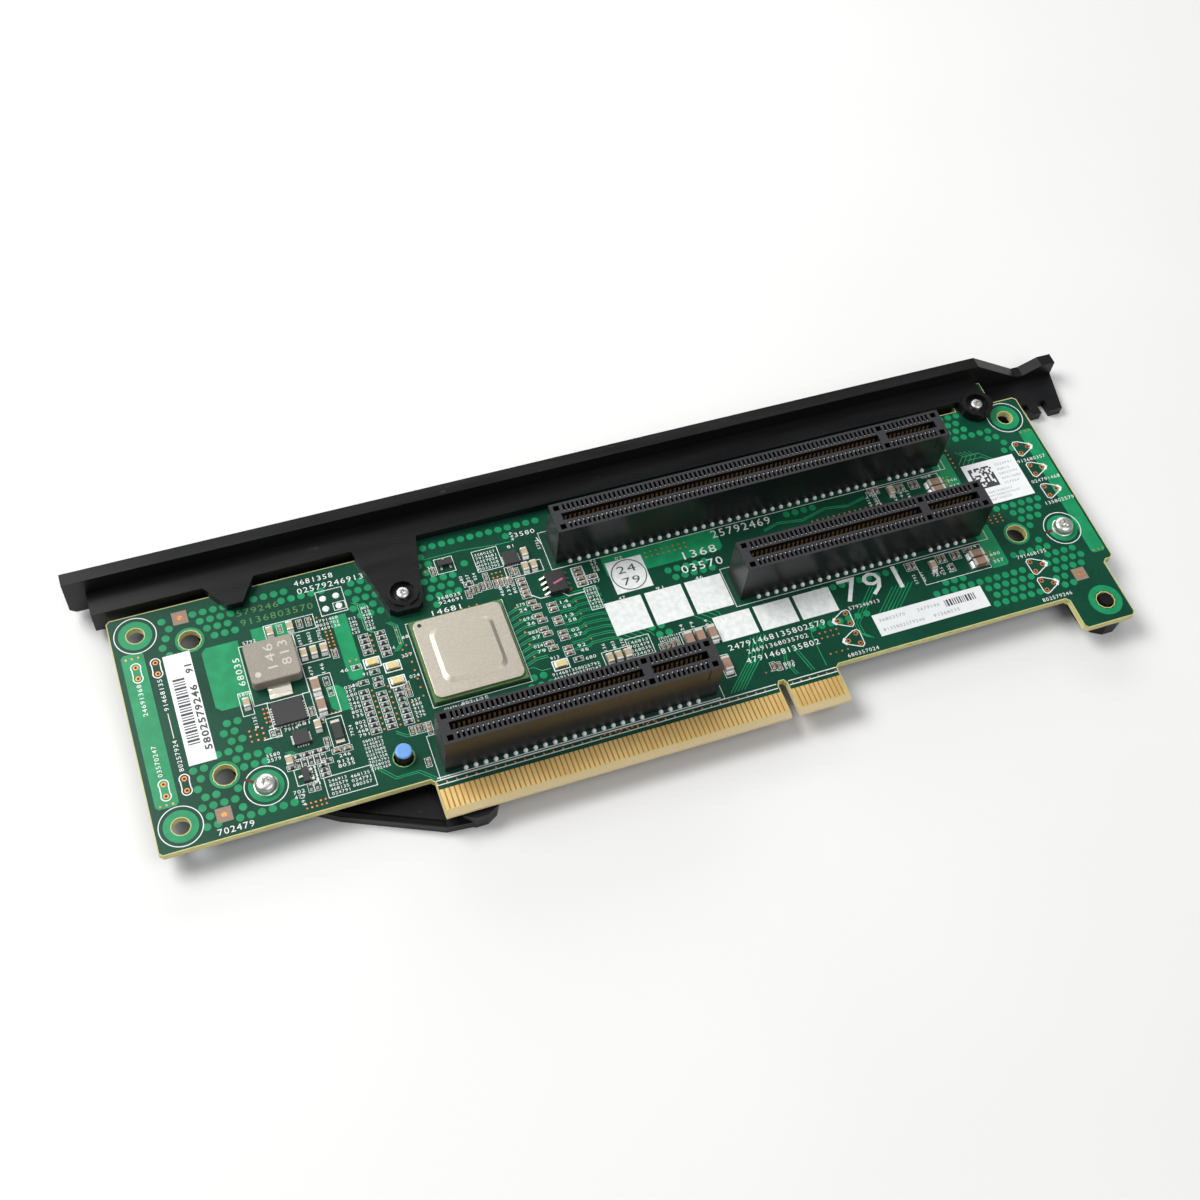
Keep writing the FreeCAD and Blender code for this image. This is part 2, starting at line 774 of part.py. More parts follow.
large_capacitor_length = size("large_capacitor_length", 3.2)
large_capacitor_width = size("large_capacitor_width", 1.6)
large_capacitor_height = size("large_capacitor_height", 1.5)
large_capacitor_end = size("large_capacitor_end", 0.5)
medium_capacitor_length = size("medium_capacitor_length", 2.0)
medium_capacitor_width = size("medium_capacitor_width", 1.25)
medium_capacitor_height = size("medium_capacitor_height", 1.1)
medium_capacitor_end = size("medium_capacitor_end", 0.4)

large_capacitor_places = [
    (-88.4, 28.4, "Y"), (-88.4, 23.8, "Y"),
    (-14.4, 16.4, "Y"), (-12.0, 16.4, "Y"), (-9.4, 16.4, "Y"), (-9.3, 8.8, "Y"),
    (51.7, 37.6, "X"), (51.7, 35.6, "X"), (52.0, 18.0, "X"), (52.0, 15.9, "X"),
]
medium_capacitor_places = [
    (-88.8, 36.2, "Y"), (-86.8, 36.2, "Y"), (-84.8, 36.2, "Y"),
]


def make_capacitors(label, places, length, width, height, end):
    blocks = []
    terminals = []
    for index, (x, y, direction) in enumerate(places):
        for part_name, start, stop in (
            ("first_end", as_size(0), end),
            ("block", end, length - end),
            ("second_end", length - end, length),
        ):
            along = (x if direction == "X" else y) - length.value / 2
            across = (y if direction == "X" else x) - width.value / 2
            lengthways = (as_size(along) + start, as_size(along) + stop)
            sideways = (as_size(across), as_size(across) + width)
            plan = lengthways + sideways if direction == "X" else sideways + lengthways
            box = add_box(f"{label}_{part_name}_{index + 1}", *plan, 0, height)
            if part_name == "block":
                blocks.append(box)
            else:
                terminals.append(box)
    return [
        add_group(f"{label}_capacitor_blocks", blocks),
        add_group(f"{label}_capacitor_ends", terminals),
    ]


parts.extend(make_capacitors("large", large_capacitor_places, large_capacitor_length,
                             large_capacitor_width, large_capacitor_height, large_capacitor_end))
parts.extend(make_capacitors("medium", medium_capacitor_places, medium_capacitor_length,
                             medium_capacitor_width, medium_capacitor_height,
                             medium_capacitor_end))

# ---------------------------------------------------------------------------------------------
# Indicator lamps: small cream blocks on the board.

lamp_length = size("lamp_length", 2.0)
lamp_width = size("lamp_width", 1.3)
lamp_height = size("lamp_height", 0.7)
lamp_places = [(-76.5, 30.5), (-72.9, 28.5), (-72.9, 25.0), (-41.0, 19.0)]


def make_lamps():
    lamps = []
    for index, (x, y) in enumerate(lamp_places):
        left = as_size(x) - lamp_length / 2
        near = as_size(y) - lamp_width / 2
        lamps.append(add_box(f"lamp_{index + 1}", left, left + lamp_length, near,
                             near + lamp_width, 0, lamp_height))
    return add_group("indicator_lamps", lamps)


parts.append(make_lamps())

# ---------------------------------------------------------------------------------------------
# The carrier: one black rail along the far side. A ledge reaches over the board and carries two
# tabs that lie on it; behind the ledge stands a fin, which dips in a notch near its right end.
# Slots in the rail take the two tabs of the board.

rail_left = size("rail_left", -126.3)
rail_right = size("rail_right", 72.8)
rail_near = size("rail_near", 55.95)
rail_bottom = size("rail_bottom", -3.8)
ledge_height = size("ledge_height", 2.0)
fin_near = size("fin_near", 61.5)
fin_thickness = size("fin_thickness", 2.7)
fin_height = size("fin_height", 6.3)
fin_left = size("fin_left", -130.3)
fin_right = size("fin_right", 95.2)
fin_right_height = size("fin_right_height", 5.6)
fin_notch_start = size("fin_notch_start", 73.4)
fin_notch_left = size("fin_notch_left", 85.6)
fin_notch_right = size("fin_notch_right", 87.4)
fin_notch_end = size("fin_notch_end", 91.8)
fin_notch_floor = size("fin_notch_floor", -2.1)
fin_end_height = size("fin_end_height", 0.0)
fin_corner = size("fin_corner", 1.2)

small_tab_left = size("small_tab_left", -104.3)
small_tab_right = size("small_tab_right", -94.0)
small_tab_tip_left = size("small_tab_tip_left", -100.6)
small_tab_tip_right = size("small_tab_tip_right", -97.4)
small_tab_tip = size("small_tab_tip", 50.6)
wide_tab_left = size("wide_tab_left", -73.9)
wide_tab_right = size("wide_tab_right", -60.2)
wide_tab_tip_left = size("wide_tab_tip_left", -69.9)
wide_tab_tip_right = size("wide_tab_tip_right", -63.4)
wide_tab_tip = size("wide_tab_tip", 39.2)
tab_clearance = size("tab_clearance", 0.4)

boss_radius = size("boss_radius", 3.7)
ring_radius = size("ring_radius", 3.3)
boss_rise = size("boss_rise", 0.4)
boss_top = ledge_height + boss_rise
counterbore_radius = size("counterbore_radius", 2.6)
counterbore_depth = size("counterbore_depth", 1.1)
boss_slit_width = size("boss_slit_width", 1.3)
wide_tab_corner = size("wide_tab_corner", 1.0)


def make_carrier_rail():
    body = new_body("carrier_rail")
    fin_plan = sketch_on(body, "XZ_Plane", "fin_profile", -fin_near)
    add_outline(fin_plan, [
        (fin_left, rail_bottom + fin_corner),
        (fin_left + fin_corner, rail_bottom),
        (fin_right, rail_bottom),
        (fin_right, fin_end_height),
        (fin_notch_end, fin_end_height),
        (fin_notch_right, fin_notch_floor),
        (fin_notch_left, fin_notch_floor),
        (fin_notch_start, fin_right_height),
        (fin_left, fin_height),
    ])
    fin = add_pad(body, fin_plan, "fin", fin_thickness)
    fin.Reversed = True

    wall = sketch_on(body, "XY_Plane", "rail_wall_plan", rail_bottom)
    add_outline(wall, rectangle(rail_left, rail_right, rail_near, fin_near))
    add_pad(body, wall, "rail_wall", ledge_height - rail_bottom)

    tabs = sketch_on(body, "XY_Plane", "tab_plan")
    add_outline(tabs, [
        (small_tab_tip_left, small_tab_tip),
        (small_tab_tip_right, small_tab_tip),
        (small_tab_right, rail_near),
        (small_tab_left, rail_near),
    ])
    add_outline(tabs, [
        (wide_tab_tip_left, wide_tab_tip),
        (wide_tab_tip_right, wide_tab_tip),
        (wide_tab_right, rail_near),
        (wide_tab_left, rail_near),
    ])
    add_pad(body, tabs, "ledge_tabs", ledge_height)
    tip_corners = [(wide_tab_tip_left, wide_tab_tip), (wide_tab_tip_right, wide_tab_tip)]
    chamfer_edges(body, "wide_tab_corners", wide_tab_corner, upright_at(tip_corners))

    web = sketch_on(body, "XY_Plane", "right_boss_web_plan")
    web_left = right_small_screw_x - boss_radius
    add_outline(web, rectangle(web_left, rail_right, right_small_screw_y, rail_near))
    add_pad(body, web, "right_boss_web", ledge_height)
    bosses = [
        ("left_screw_ring", left_small_screw_x, left_small_screw_y, ring_radius),
        ("right_screw_boss", right_small_screw_x, right_small_screw_y, boss_radius),
    ]
    for name, across, along, radius in bosses:
        plan = sketch_on(body, "XY_Plane", f"{name}_plan")
        add_outline(plan, many_sided(across, along, radius, 12))
        add_pad(body, plan, name, boss_top)

    board_slots = sketch_on(body, "XY_Plane", "board_slot_plan")
    gap = tab_clearance
    slot_far = board_far + long_tab_depth + gap
    add_outline(board_slots, rectangle(long_tab_left - gap, long_tab_right + gap, rail_near, slot_far))
    add_outline(board_slots, rectangle(end_tab_left - gap, rail_right, rail_near, fin_near))
    add_pocket(body, board_slots, "board_slots", board_thickness)

    counterbores = sketch_on(body, "XY_Plane", "counterbore_plan", boss_top)
    holes = sketch_on(body, "XY_Plane", "rail_screw_hole_plan", boss_top)
    for across, along in ((left_small_screw_x, left_small_screw_y),
                          (right_small_screw_x, right_small_screw_y)):
        add_outline(counterbores, many_sided(across, along, counterbore_radius, 12))
        add_outline(holes, many_sided(across, along, small_screw_hole_radius, 6))
    add_pocket(body, counterbores, "screw_counterbores", counterbore_depth)
    add_pocket(body, holes, "rail_screw_holes", boss_top)

    # A slit opens each ring towards the near side.
    slits = sketch_on(body, "XY_Plane", "boss_slit_plan", boss_top)
    half_slit = boss_slit_width / 2
    for across, along, tip in (
        (left_small_screw_x, left_small_screw_y, left_small_screw_y - ring_radius),
        (right_small_screw_x, right_small_screw_y, right_small_screw_y - boss_radius),
    ):
        slit_far = along - counterbore_radius + half_slit
        add_outline(slits, rectangle(across - half_slit, across + half_slit, tip, slit_far))
    add_pocket(body, slits, "boss_slits", counterbore_depth)
    return body


parts.append(make_carrier_rail())

# ---------------------------------------------------------------------------------------------
# The carrier's base: a flat frame below the board. Two arms reach forward from the rail; raised
# bosses hold the board off it, a peg locates the board's foot and a pin comes up through it.

base_bottom = size("base_bottom", -6.0)
base_left_arm = size("base_left_arm", -107.5)
base_left_arm_right = size("base_left_arm_right", -96.0)
base_left_arm_near = size("base_left_arm_near", 5.5)
base_arm_bend_x = size("base_arm_bend_x", -90.7)
base_arm_bend_y = size("base_arm_bend_y", 2.0)
base_arm_end_x = size("base_arm_end_x", -72.3)
base_arm_end_y = size("base_arm_end_y", -6.2)
support_x = size("support_x", -65.5)
support_y = size("support_y", -2.4)
support_radius = size("support_radius", 4.7)
base_rear_near = size("base_rear_near", 50.5)
base_right_arm = size("base_right_arm", 68.9)
base_right_arm_right = size("base_right_arm_right", 78.9)
peg_boss_radius = size("peg_boss_radius", 5.0)
peg_radius = size("peg_radius", 1.5)
peg_rise = size("peg_rise", 0.4)
pin_radius = size("pin_radius", 1.65)
pin_rise = size("pin_rise", 2.3)
pin_boss_radius = size("pin_boss_radius", 3.4)
board_boss_radius = size("board_boss_radius", 3.5)
clip_near = size("clip_near", 54.6)
clip_right = size("clip_right", 93.0)
clip_tooth_tip = size("clip_tooth_tip", 51.4)
first_tooth_left = size("first_tooth_left", 85.4)
first_tooth_right = size("first_tooth_right", 87.6)
second_tooth_left = size("second_tooth_left", 90.0)


def make_carrier_base():
    body = new_body("carrier_base")
    plan = sketch_on(body, "XY_Plane", "base_plan", base_bottom)
    # The arm's outline meets the round support at two corners of its polygon.
    across_support = support_radius * 0.96593
    past_support = support_radius * 0.25882
    add_outline(plan, [
        (base_left_arm, base_left_arm_near),
        (base_arm_bend_x - 4, base_left_arm_near - 1),
        (base_arm_bend_x, base_arm_bend_y),
        (base_arm_end_x, base_arm_end_y),
        (support_x + past_support, support_y - across_support),
        (support_x + across_support, support_y + past_support),
        (pin_x + pin_boss_radius, pin_y + pin_boss_radius),
        (base_left_arm_right, pin_y + pin_boss_radius),
        (base_left_arm_right, base_rear_near),
        (base_right_arm, base_rear_near),
        (base_right_arm, peg_y),
        (base_right_arm_right, peg_y),
        (base_right_arm_right, clip_near),
        (first_tooth_left, clip_near),
        (first_tooth_left, clip_tooth_tip),
        (first_tooth_right, clip_tooth_tip),
        (first_tooth_right, clip_near),
        (second_tooth_left, clip_near),
        (second_tooth_left, clip_tooth_tip),
        (clip_right, clip_tooth_tip),
        (fin_right, fin_near),
        (fin_right, fin_near + fin_thickness),
        (base_left_arm, fin_near + fin_thickness),
    ])
    frame_height = rail_bottom - base_bottom
    add_pad(body, plan, "base_frame", frame_height)

    boss_height = board_underside - base_bottom
    contact_clearance = boss_height - finger_thickness * 2
    bosses = [
        ("tongue_support", support_x, support_y, support_radius, contact_clearance, 12),
        ("peg_boss", peg_x, peg_y, peg_boss_radius, boss_height, 12),
        ("left_board_boss", left_screw_x, left_screw_y, board_boss_radius, boss_height, 8),
        ("right_board_boss", right_screw_x, right_screw_y, board_boss_radius, boss_height, 8),
        ("locating_peg", peg_x, peg_y, peg_radius, peg_rise - base_bottom, 8),
        ("guide_pin", pin_x, pin_y, pin_radius, pin_rise - base_bottom, 12),
    ]
    for name, across, along, radius, height, sides in bosses:
        boss_plan = sketch_on(body, "XY_Plane", f"{name}_plan", base_bottom)
        add_outline(boss_plan, many_sided(across, along, radius, sides))
        add_pad(body, boss_plan, name, height)

    shanks = sketch_on(body, "XY_Plane", "shank_hole_plan", board_underside)
    for across, along in ((left_screw_x, left_screw_y), (right_screw_x, right_screw_y)):
        add_outline(shanks, many_sided(across, along, board_screw_hole_radius, 6))
    add_pocket(body, shanks, "shank_holes", boss_height)
    return body


parts.append(make_carrier_base())

# ---------------------------------------------------------------------------------------------
# Fasteners and the cap of the guide pin. Each screw is a plain head on a plain shank, and the
# two sizes are one group each.

screw_head_radius = size("screw_head_radius", 2.3)
screw_head_height = size("screw_head_height", 1.9)
screw_shank_clearance = size("screw_shank_clearance", 0.1)
small_head_radius = size("small_head_radius", 1.35)
small_head_height = size("small_head_height", 1.1)
cap_height = size("cap_height", 0.45)


def make_screw(name, across, along, seat, head_radius, head_height, shank_radius, tip):
    """One upright screw; seat is the height that its head rests on."""
    body = document.addObject("PartDesign::Body", name)
    shank = sketch_on(body, "XY_Plane", f"{name}_shank_plan", tip)
    add_outline(shank, many_sided(across, along, shank_radius, 6))
    add_pad(body, shank, f"{name}_shank", seat - tip)
    head = sketch_on(body, "XY_Plane", f"{name}_head_plan", seat)
    add_outline(head, many_sided(across, along, head_radius, 10))
    add_pad(body, head, f"{name}_head", head_height)
    return body


def make_screws():
    large_shank = board_screw_hole_radius - screw_shank_clearance
    small_shank = small_screw_hole_radius - screw_shank_clearance
    large = [
        make_screw("left_board_screw", left_screw_x, left_screw_y, as_size(0),
                   screw_head_radius, screw_head_height, large_shank, base_bottom),
        make_screw("right_board_screw", right_screw_x, right_screw_y, as_size(0),
                   screw_head_radius, screw_head_height, large_shank, base_bottom),
    ]
    small_seat = boss_top - counterbore_depth
    small = [
        make_screw("left_rail_screw", left_small_screw_x, left_small_screw_y, small_seat,
                   small_head_radius, small_head_height, small_shank, board_underside),
        make_screw("right_rail_screw", right_small_screw_x, right_small_screw_y, small_seat,
                   small_head_radius, small_head_height, small_shank, board_underside),
    ]
    return [add_group("board_screws", large), add_group("rail_screws", small)]


def make_pin_cap():
    cap = document.addObject("Part::Prism", "guide_pin_cap")
    cap.Polygon = 12
    bind(cap, "Circumradius", pin_radius)
    bind(cap, "Height", cap_height)
    bind(cap, "Placement.Base.x", pin_x)
    bind(cap, "Placement.Base.y", pin_y)
    bind(cap, "Placement.Base.z", pin_rise)
    return cap


parts.extend(make_screws())
parts.append(make_pin_cap())

# ---------------------------------------------------------------------------------------------
# Paper labels: thin blank plates stuck on the board.

label_thickness = size("label_thickness", 0.1)
left_label_x = size("left_label_x", -115.1)
left_label_y = size("left_label_y", 18.9)
left_label_width = size("left_label_width", 5.3)
left_label_length = size("left_label_length", 24.8)
square_label_x = size("square_label_x", 59.7)
square_label_y = size("square_label_y", 29.1)
square_label_width = size("square_label_width", 12.9)
square_label_depth = size("square_label_depth", 11.2)
near_label_x = size("near_label_x", 24.1)
near_label_y = size("near_label_y", 5.7)
near_label_length = size("near_label_length", 25.4)
near_label_width = size("near_label_width", 5.2)

labels = [
    ("left_label", left_label_x, left_label_y, left_label_width, left_label_length),
    ("square_label", square_label_x, square_label_y, square_label_width, square_label_depth),
    ("near_label", near_label_x, near_label_y, near_label_length, near_label_width),
]
for label_name, label_x, label_y, label_width, label_depth in labels:
    parts.append(add_box(label_name, label_x, label_x + label_width, label_y,
                         label_y + label_depth, 0, label_thickness))

# ---------------------------------------------------------------------------------------------
# Recompute, check every object and write one STEP file per node.

document.recompute()
for item in document.Objects:
    if "Invalid" in item.State or "Error" in item.State:
        raise RuntimeError(f"{item.Name} did not build: {item.State}")

os.makedirs("parts", exist_ok=True)
for part in parts:
    if part.Shape.isNull() or not part.Shape.isValid():
        raise RuntimeError(f"{part.Label} has no valid shape")
    part.Shape.exportStep(os.path.join("parts", f"{part.Label}.step"))
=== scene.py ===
import itertools
import math

import bmesh
import bpy
from mathutils import Matrix, Vector


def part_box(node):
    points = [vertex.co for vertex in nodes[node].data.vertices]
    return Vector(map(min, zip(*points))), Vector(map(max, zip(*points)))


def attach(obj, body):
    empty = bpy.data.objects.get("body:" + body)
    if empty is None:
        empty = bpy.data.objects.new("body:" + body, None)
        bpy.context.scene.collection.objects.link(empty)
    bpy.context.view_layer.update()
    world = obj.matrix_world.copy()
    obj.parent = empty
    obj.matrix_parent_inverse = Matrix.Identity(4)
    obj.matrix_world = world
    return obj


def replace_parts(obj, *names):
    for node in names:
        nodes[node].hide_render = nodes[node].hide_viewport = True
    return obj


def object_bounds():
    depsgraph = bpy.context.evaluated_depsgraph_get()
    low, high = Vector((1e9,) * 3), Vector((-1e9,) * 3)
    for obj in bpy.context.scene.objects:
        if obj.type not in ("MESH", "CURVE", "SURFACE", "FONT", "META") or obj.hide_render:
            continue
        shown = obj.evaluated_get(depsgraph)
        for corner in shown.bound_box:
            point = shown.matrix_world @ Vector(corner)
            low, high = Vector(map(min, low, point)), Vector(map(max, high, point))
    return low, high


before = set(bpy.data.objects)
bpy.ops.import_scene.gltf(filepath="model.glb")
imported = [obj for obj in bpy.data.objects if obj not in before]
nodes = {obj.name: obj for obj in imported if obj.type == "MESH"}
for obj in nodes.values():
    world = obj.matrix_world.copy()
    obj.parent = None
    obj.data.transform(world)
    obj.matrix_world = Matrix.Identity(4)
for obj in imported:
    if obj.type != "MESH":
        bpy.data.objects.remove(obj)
cad_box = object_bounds()

# ----------------------------------------
# The circuit board is pressed glass-fibre laminate, routed to shape and coated on both faces
# with a dark green solder mask. Its cut edges stay bare and show the pale yellow glass layers;
# on the tongue, between the contacts, there is no mask either.

mm = 0.001


class Wire:
    """A value inside a finish. Python's operators on it add the Math nodes."""

    def __init__(self, finish, socket):
        self.finish = finish
        self.socket = socket

    def math(self, operation, *others):
        values = {index + 1: other for index, other in enumerate(others)}
        return self.finish.node("ShaderNodeMath", {"operation": operation}, {0: self, **values})

    def __add__(self, other):
        return self.math("ADD", other)

    def __sub__(self, other):
        return self.math("SUBTRACT", other)

    def __mul__(self, other):
        return self.math("MULTIPLY", other)

    def __rsub__(self, other):
        return self.finish.node("ShaderNodeMath", {"operation": "SUBTRACT"}, {0: other, 1: self})

    def __lt__(self, other):
        return self.math("LESS_THAN", other)

    __radd__ = __add__
    __rmul__ = __mul__


class Finish:
    """A material with one Principled shader, and the nodes that feed it."""

    def __init__(self, name, **sockets):
        self.material = bpy.data.materials.new(name)
        self.material.use_nodes = True
        self.tree = self.material.node_tree
        self.shader = self.tree.nodes["Principled BSDF"]
        self.set(**sockets)

    def node(self, kind, settings, sockets, output=0):
        """Add a node: its settings first, then the values or links of its sockets."""
        made = self.tree.nodes.new(kind)
        for name, value in settings.items():
            setattr(made, name, value)
        by_identifier = {socket.identifier: socket for socket in made.inputs}
        for key, value in sockets.items():
            socket = by_identifier[key] if key in by_identifier else made.inputs[key]
            self.feed(socket, value)
        return Wire(self, made.outputs[output])

    def feed(self, socket, value):
        if isinstance(value, Wire):
            self.tree.links.new(value.socket, socket)
        elif isinstance(value, tuple) and len(value) == 3 and socket.type == "RGBA":
            socket.default_value = (*value, 1)
        else:
            socket.default_value = value

    def set(self, **sockets):
        """Set or link the shader's sockets, named in small letters with underscores."""
        by_name = {socket.name.lower().replace(" ", "_"): socket for socket in self.shader.inputs}
        for name, value in sockets.items():
            self.feed(by_name[name], value)
        return self

    def place(self):
        """The point of the surface, in metres."""
        return self.node("ShaderNodeTexCoord", {}, {}, "Object")

    def axes(self, vector):
        return [self.node("ShaderNodeSeparateXYZ", {}, {0: vector}, i) for i in range(3)]

    def noise(self, size, detail=3, stretch=(1, 1, 1)):
        """Soft noise from 0 to 1, whose patches are about size millimetres wide."""
        scale = tuple(s / (size * mm) for s in stretch)
        scaled = self.node("ShaderNodeMapping", {}, {"Vector": self.place(), "Scale": scale})
        return self.node("ShaderNodeTexNoise", {}, {"Vector": scaled, "Scale": 1.0, "Detail": detail})

    def soft_step(self, value, low, high):
        """0 below low, 1 above high, and a smooth ramp between them."""
        limits = {"Value": value, "From Min": low, "From Max": high}
        return self.node("ShaderNodeMapRange", {"interpolation_type": "SMOOTHSTEP"}, limits)

    def mix(self, first, second, share):
        sockets = {"Factor_Float": share, "A_Color": first, "B_Color": second}
        return self.node("ShaderNodeMix", {"data_type": "RGBA"}, sockets, 2)

    def colour(self, first, second, share):
        """Blend two colours, written as they look on a screen, by a share from 0 to 1."""
        return self.set(base_color=self.mix(hue(*first), hue(*second), share))

    def bump(self, height, depth, strength=1.0):
        """Relief of the given depth in millimetres."""
        sockets = {"Height": height, "Distance": depth * mm, "Strength": strength}
        return self.set(normal=self.node("ShaderNodeBump", {}, sockets))

    def speckle(self, first, second, size, detail=3):
        """Blend two colours in patches about size millimetres wide."""
        return self.colour(first, second, self.noise(size, detail))

    def grain(self, size, detail, depth, strength):
        """Fine relief: how wide and how detailed it is, how deep in millimetres, how strong."""
        return self.bump(self.noise(size, detail), depth, strength)

    def sheen(self, least, spread, size, detail=2):
        """Roughness that varies in patches, from least to least plus spread."""
        return self.set(roughness=least + self.noise(size, detail) * spread)


def hue(red, green, blue):
    """A colour written as it looks on a screen, turned into linear light."""
    return tuple(((c / 255 + 0.055) / 1.055) ** 2.4 if c > 10 else c / 3294 for c in (red, green, blue))


def dress(finish, *names):
    """Give nodes a finish in place of the plain one that they come with."""
    for name in names:
        nodes[name].data.materials.clear()
        nodes[name].data.materials.append(finish.material)


mask_dark = hue(4, 55, 39)
mask_light = hue(9, 71, 50)
laminate_pale = hue(214, 206, 150)
laminate_layer = hue(186, 176, 112)
laminate_bare = hue(128, 98, 52)
laminate_gap = hue(170, 138, 82)
bevel_pale = hue(226, 211, 172)
bevel_layer = hue(204, 184, 136)

mask = Finish("solder_mask_on_laminate", specular_ior_level=0.28)
upward = mask.axes(mask.node("ShaderNodeTexCoord", {}, {}, "Normal"))[2]
across, along = mask.axes(mask.place())[:2]
flat = mask.soft_step(upward.math("ABSOLUTE"), 0.9, 0.99)
cloud = mask.noise(16, 3)
weave = mask.noise(0.55, 1, (1, 0.3, 1)) * 0.5 + mask.noise(0.55, 1, (0.3, 1, 1)) * 0.5
green = mask.mix(mask_dark, mask_light, mask.soft_step(cloud * 0.7 + weave * 0.3, 0.3, 0.7))
layers = mask.noise(0.35, 2, (0.15, 0.15, 1))
edge = mask.mix(laminate_pale, laminate_layer, mask.soft_step(layers, 0.35, 0.7))
tongue_right = 12.3
tongue = (along < 0.0) * (across < tongue_right * mm)
green = mask.mix(green, mask.mix(laminate_bare, laminate_gap, weave), tongue)
edge = mask.mix(edge, mask.mix(bevel_pale, bevel_layer, weave), tongue)
mask.set(base_color=mask.mix(edge, green, flat))
mask.set(roughness=0.62 - flat * (0.36 - weave * 0.08))
mask.bump(weave * flat + layers * (1 - flat), 0.006, 0.5)
dress(mask, "circuit_board")


def as_piece(name, shape, finish, smooth=False):
    """Close a bmesh into an object that rides on the card; smooth leaves flats and sharp bends."""
    for face in shape.faces:
        face.smooth = smooth and face.calc_area() < 1.5 * mm * mm
    for edge in shape.edges:
        edge.smooth = len(edge.link_faces) == 2 and edge.calc_face_angle(0) < math.radians(38)
    mesh = bpy.data.meshes.new(name)
    shape.to_mesh(mesh)
    shape.free()
    piece = bpy.data.objects.new(name, mesh)
    bpy.context.scene.collection.objects.link(piece)
    mesh.materials.append(finish.material)
    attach(piece, "root")
    return piece


def shift(shape, x, y, z, verts=None):
    """Move some points of a bmesh, or all of them, by a distance in millimetres."""
    verts = shape.verts if verts is None else verts
    bmesh.ops.translate(shape, vec=(x * mm, y * mm, z * mm), verts=verts)


# The mask stops short of every cut edge, so a thin rim of bare laminate runs round the outline
# and round each hole.
rim_width = 0.2
rim_z = 0.012
rim = bmesh.new()
rim.from_mesh(nodes["circuit_board"].data)
rim.transform(nodes["circuit_board"].matrix_world)
below = [face for face in rim.faces if face.normal.z < 0.99 or face.calc_center_median().z < -0.1 * mm]
bmesh.ops.delete(rim, geom=below, context="FACES")
bmesh.ops.remove_doubles(rim, verts=rim.verts, dist=1e-6)
middle_faces = rim.faces[:]
bmesh.ops.inset_region(rim, faces=middle_faces, thickness=rim_width * mm,
                       use_even_offset=True, use_boundary=True)
bmesh.ops.delete(rim, geom=middle_faces, context="FACES")
shift(rim, 0, 0, rim_z)
bare_rim = Finish("bare_rim", roughness=0.55)
bare_rim.speckle((206, 200, 138), (164, 168, 96), 2.5).grain(0.3, 2, 0.006, 0.5)
as_piece("laminate_rims", rim, bare_rim)

# ----------------------------------------
# Copper areas under the mask show as lighter green: pads around the holes, power areas, long
# test strips, and a staggered field of small dots that evens out the plating.


def disc(shape, x, y, radius, z, sides=18):
    spot = Matrix.Translation((x * mm, y * mm, z * mm))
    bmesh.ops.create_circle(shape, cap_ends=True, radius=radius * mm, segments=sides, matrix=spot)


def ring(shape, x, y, inner, outer, z, sides=40):
    """A flat ring: a circle whose edge is pulled outwards."""
    spot = Matrix.Translation((x * mm, y * mm, z * mm))
    made = bmesh.ops.create_circle(shape, radius=inner * mm, segments=sides, matrix=spot)
    edges = {edge for vert in made["verts"] for edge in vert.link_edges}
    grown = bmesh.ops.extrude_edge_only(shape, edges=list(edges))
    verts = [item for item in grown["geom"] if isinstance(item, bmesh.types.BMVert)]
    space = Matrix.Translation((-x * mm, -y * mm, 0))
    wider = Vector((outer / inner, outer / inner, 1))
    bmesh.ops.scale(shape, vec=wider, space=space, verts=verts)


def patch(shape, left, right, near, far, z):
    """A flat rectangle."""
    size = Matrix.Diagonal(((right - left) * mm, (far - near) * mm, 1, 1))
    middle = Matrix.Translation(((left + right) / 2 * mm, (near + far) / 2 * mm, z * mm))
    return bmesh.ops.create_grid(shape, x_segments=1, y_segments=1, size=0.5, matrix=middle @ size)


def cut_corner(shape, made, corners, amount):
    """Cut some corners of a flat rectangle: 0 left near, 1 right near, 2 left far, 3 right far."""
    order = sorted(made["verts"], key=lambda vert: (round(vert.co.y, 5), round(vert.co.x, 5)))
    chosen = [order[index] for index in corners]
    bmesh.ops.bevel(shape, geom=chosen, offset=amount * mm, affect="VERTICES", segments=1,
                    profile=0.5, material=-1)


pour = Finish("mask_over_copper", roughness=0.3, specular_ior_level=0.4)
pour.colour((14, 128, 80), (24, 144, 92), pour.soft_step(pour.noise(3), 0.35, 0.75))
pour.grain(0.6, 2, 0.004, 0.4)

ring_holes = [(-119.1, 50.1), (-119.1, 7.35), (76.0, 50.1)]
screw_places = [(-102.4, 10.7), (73.9, 19.0)]
plain_holes = [(-109.2, 46.1), (-109.2, 15.2), (63.5, 20.6)]
peg_hole = (73.9, -0.2)
pin_hole = (-76.3, 8.7)
pour_z = 0.015

areas = bmesh.new()
for x, y in ring_holes:
    ring(areas, x, y, 1.9, 3.3, pour_z)
for x, y in screw_places:
    ring(areas, x, y, 1.9, 3.35, pour_z)
for x, y in plain_holes:
    ring(areas, x, y, 2.35, 2.85, pour_z)
ring(areas, *peg_hole, 2.25, 3.65, pour_z)
ring(areas, *pin_hole, 2.1, 2.25, pour_z)

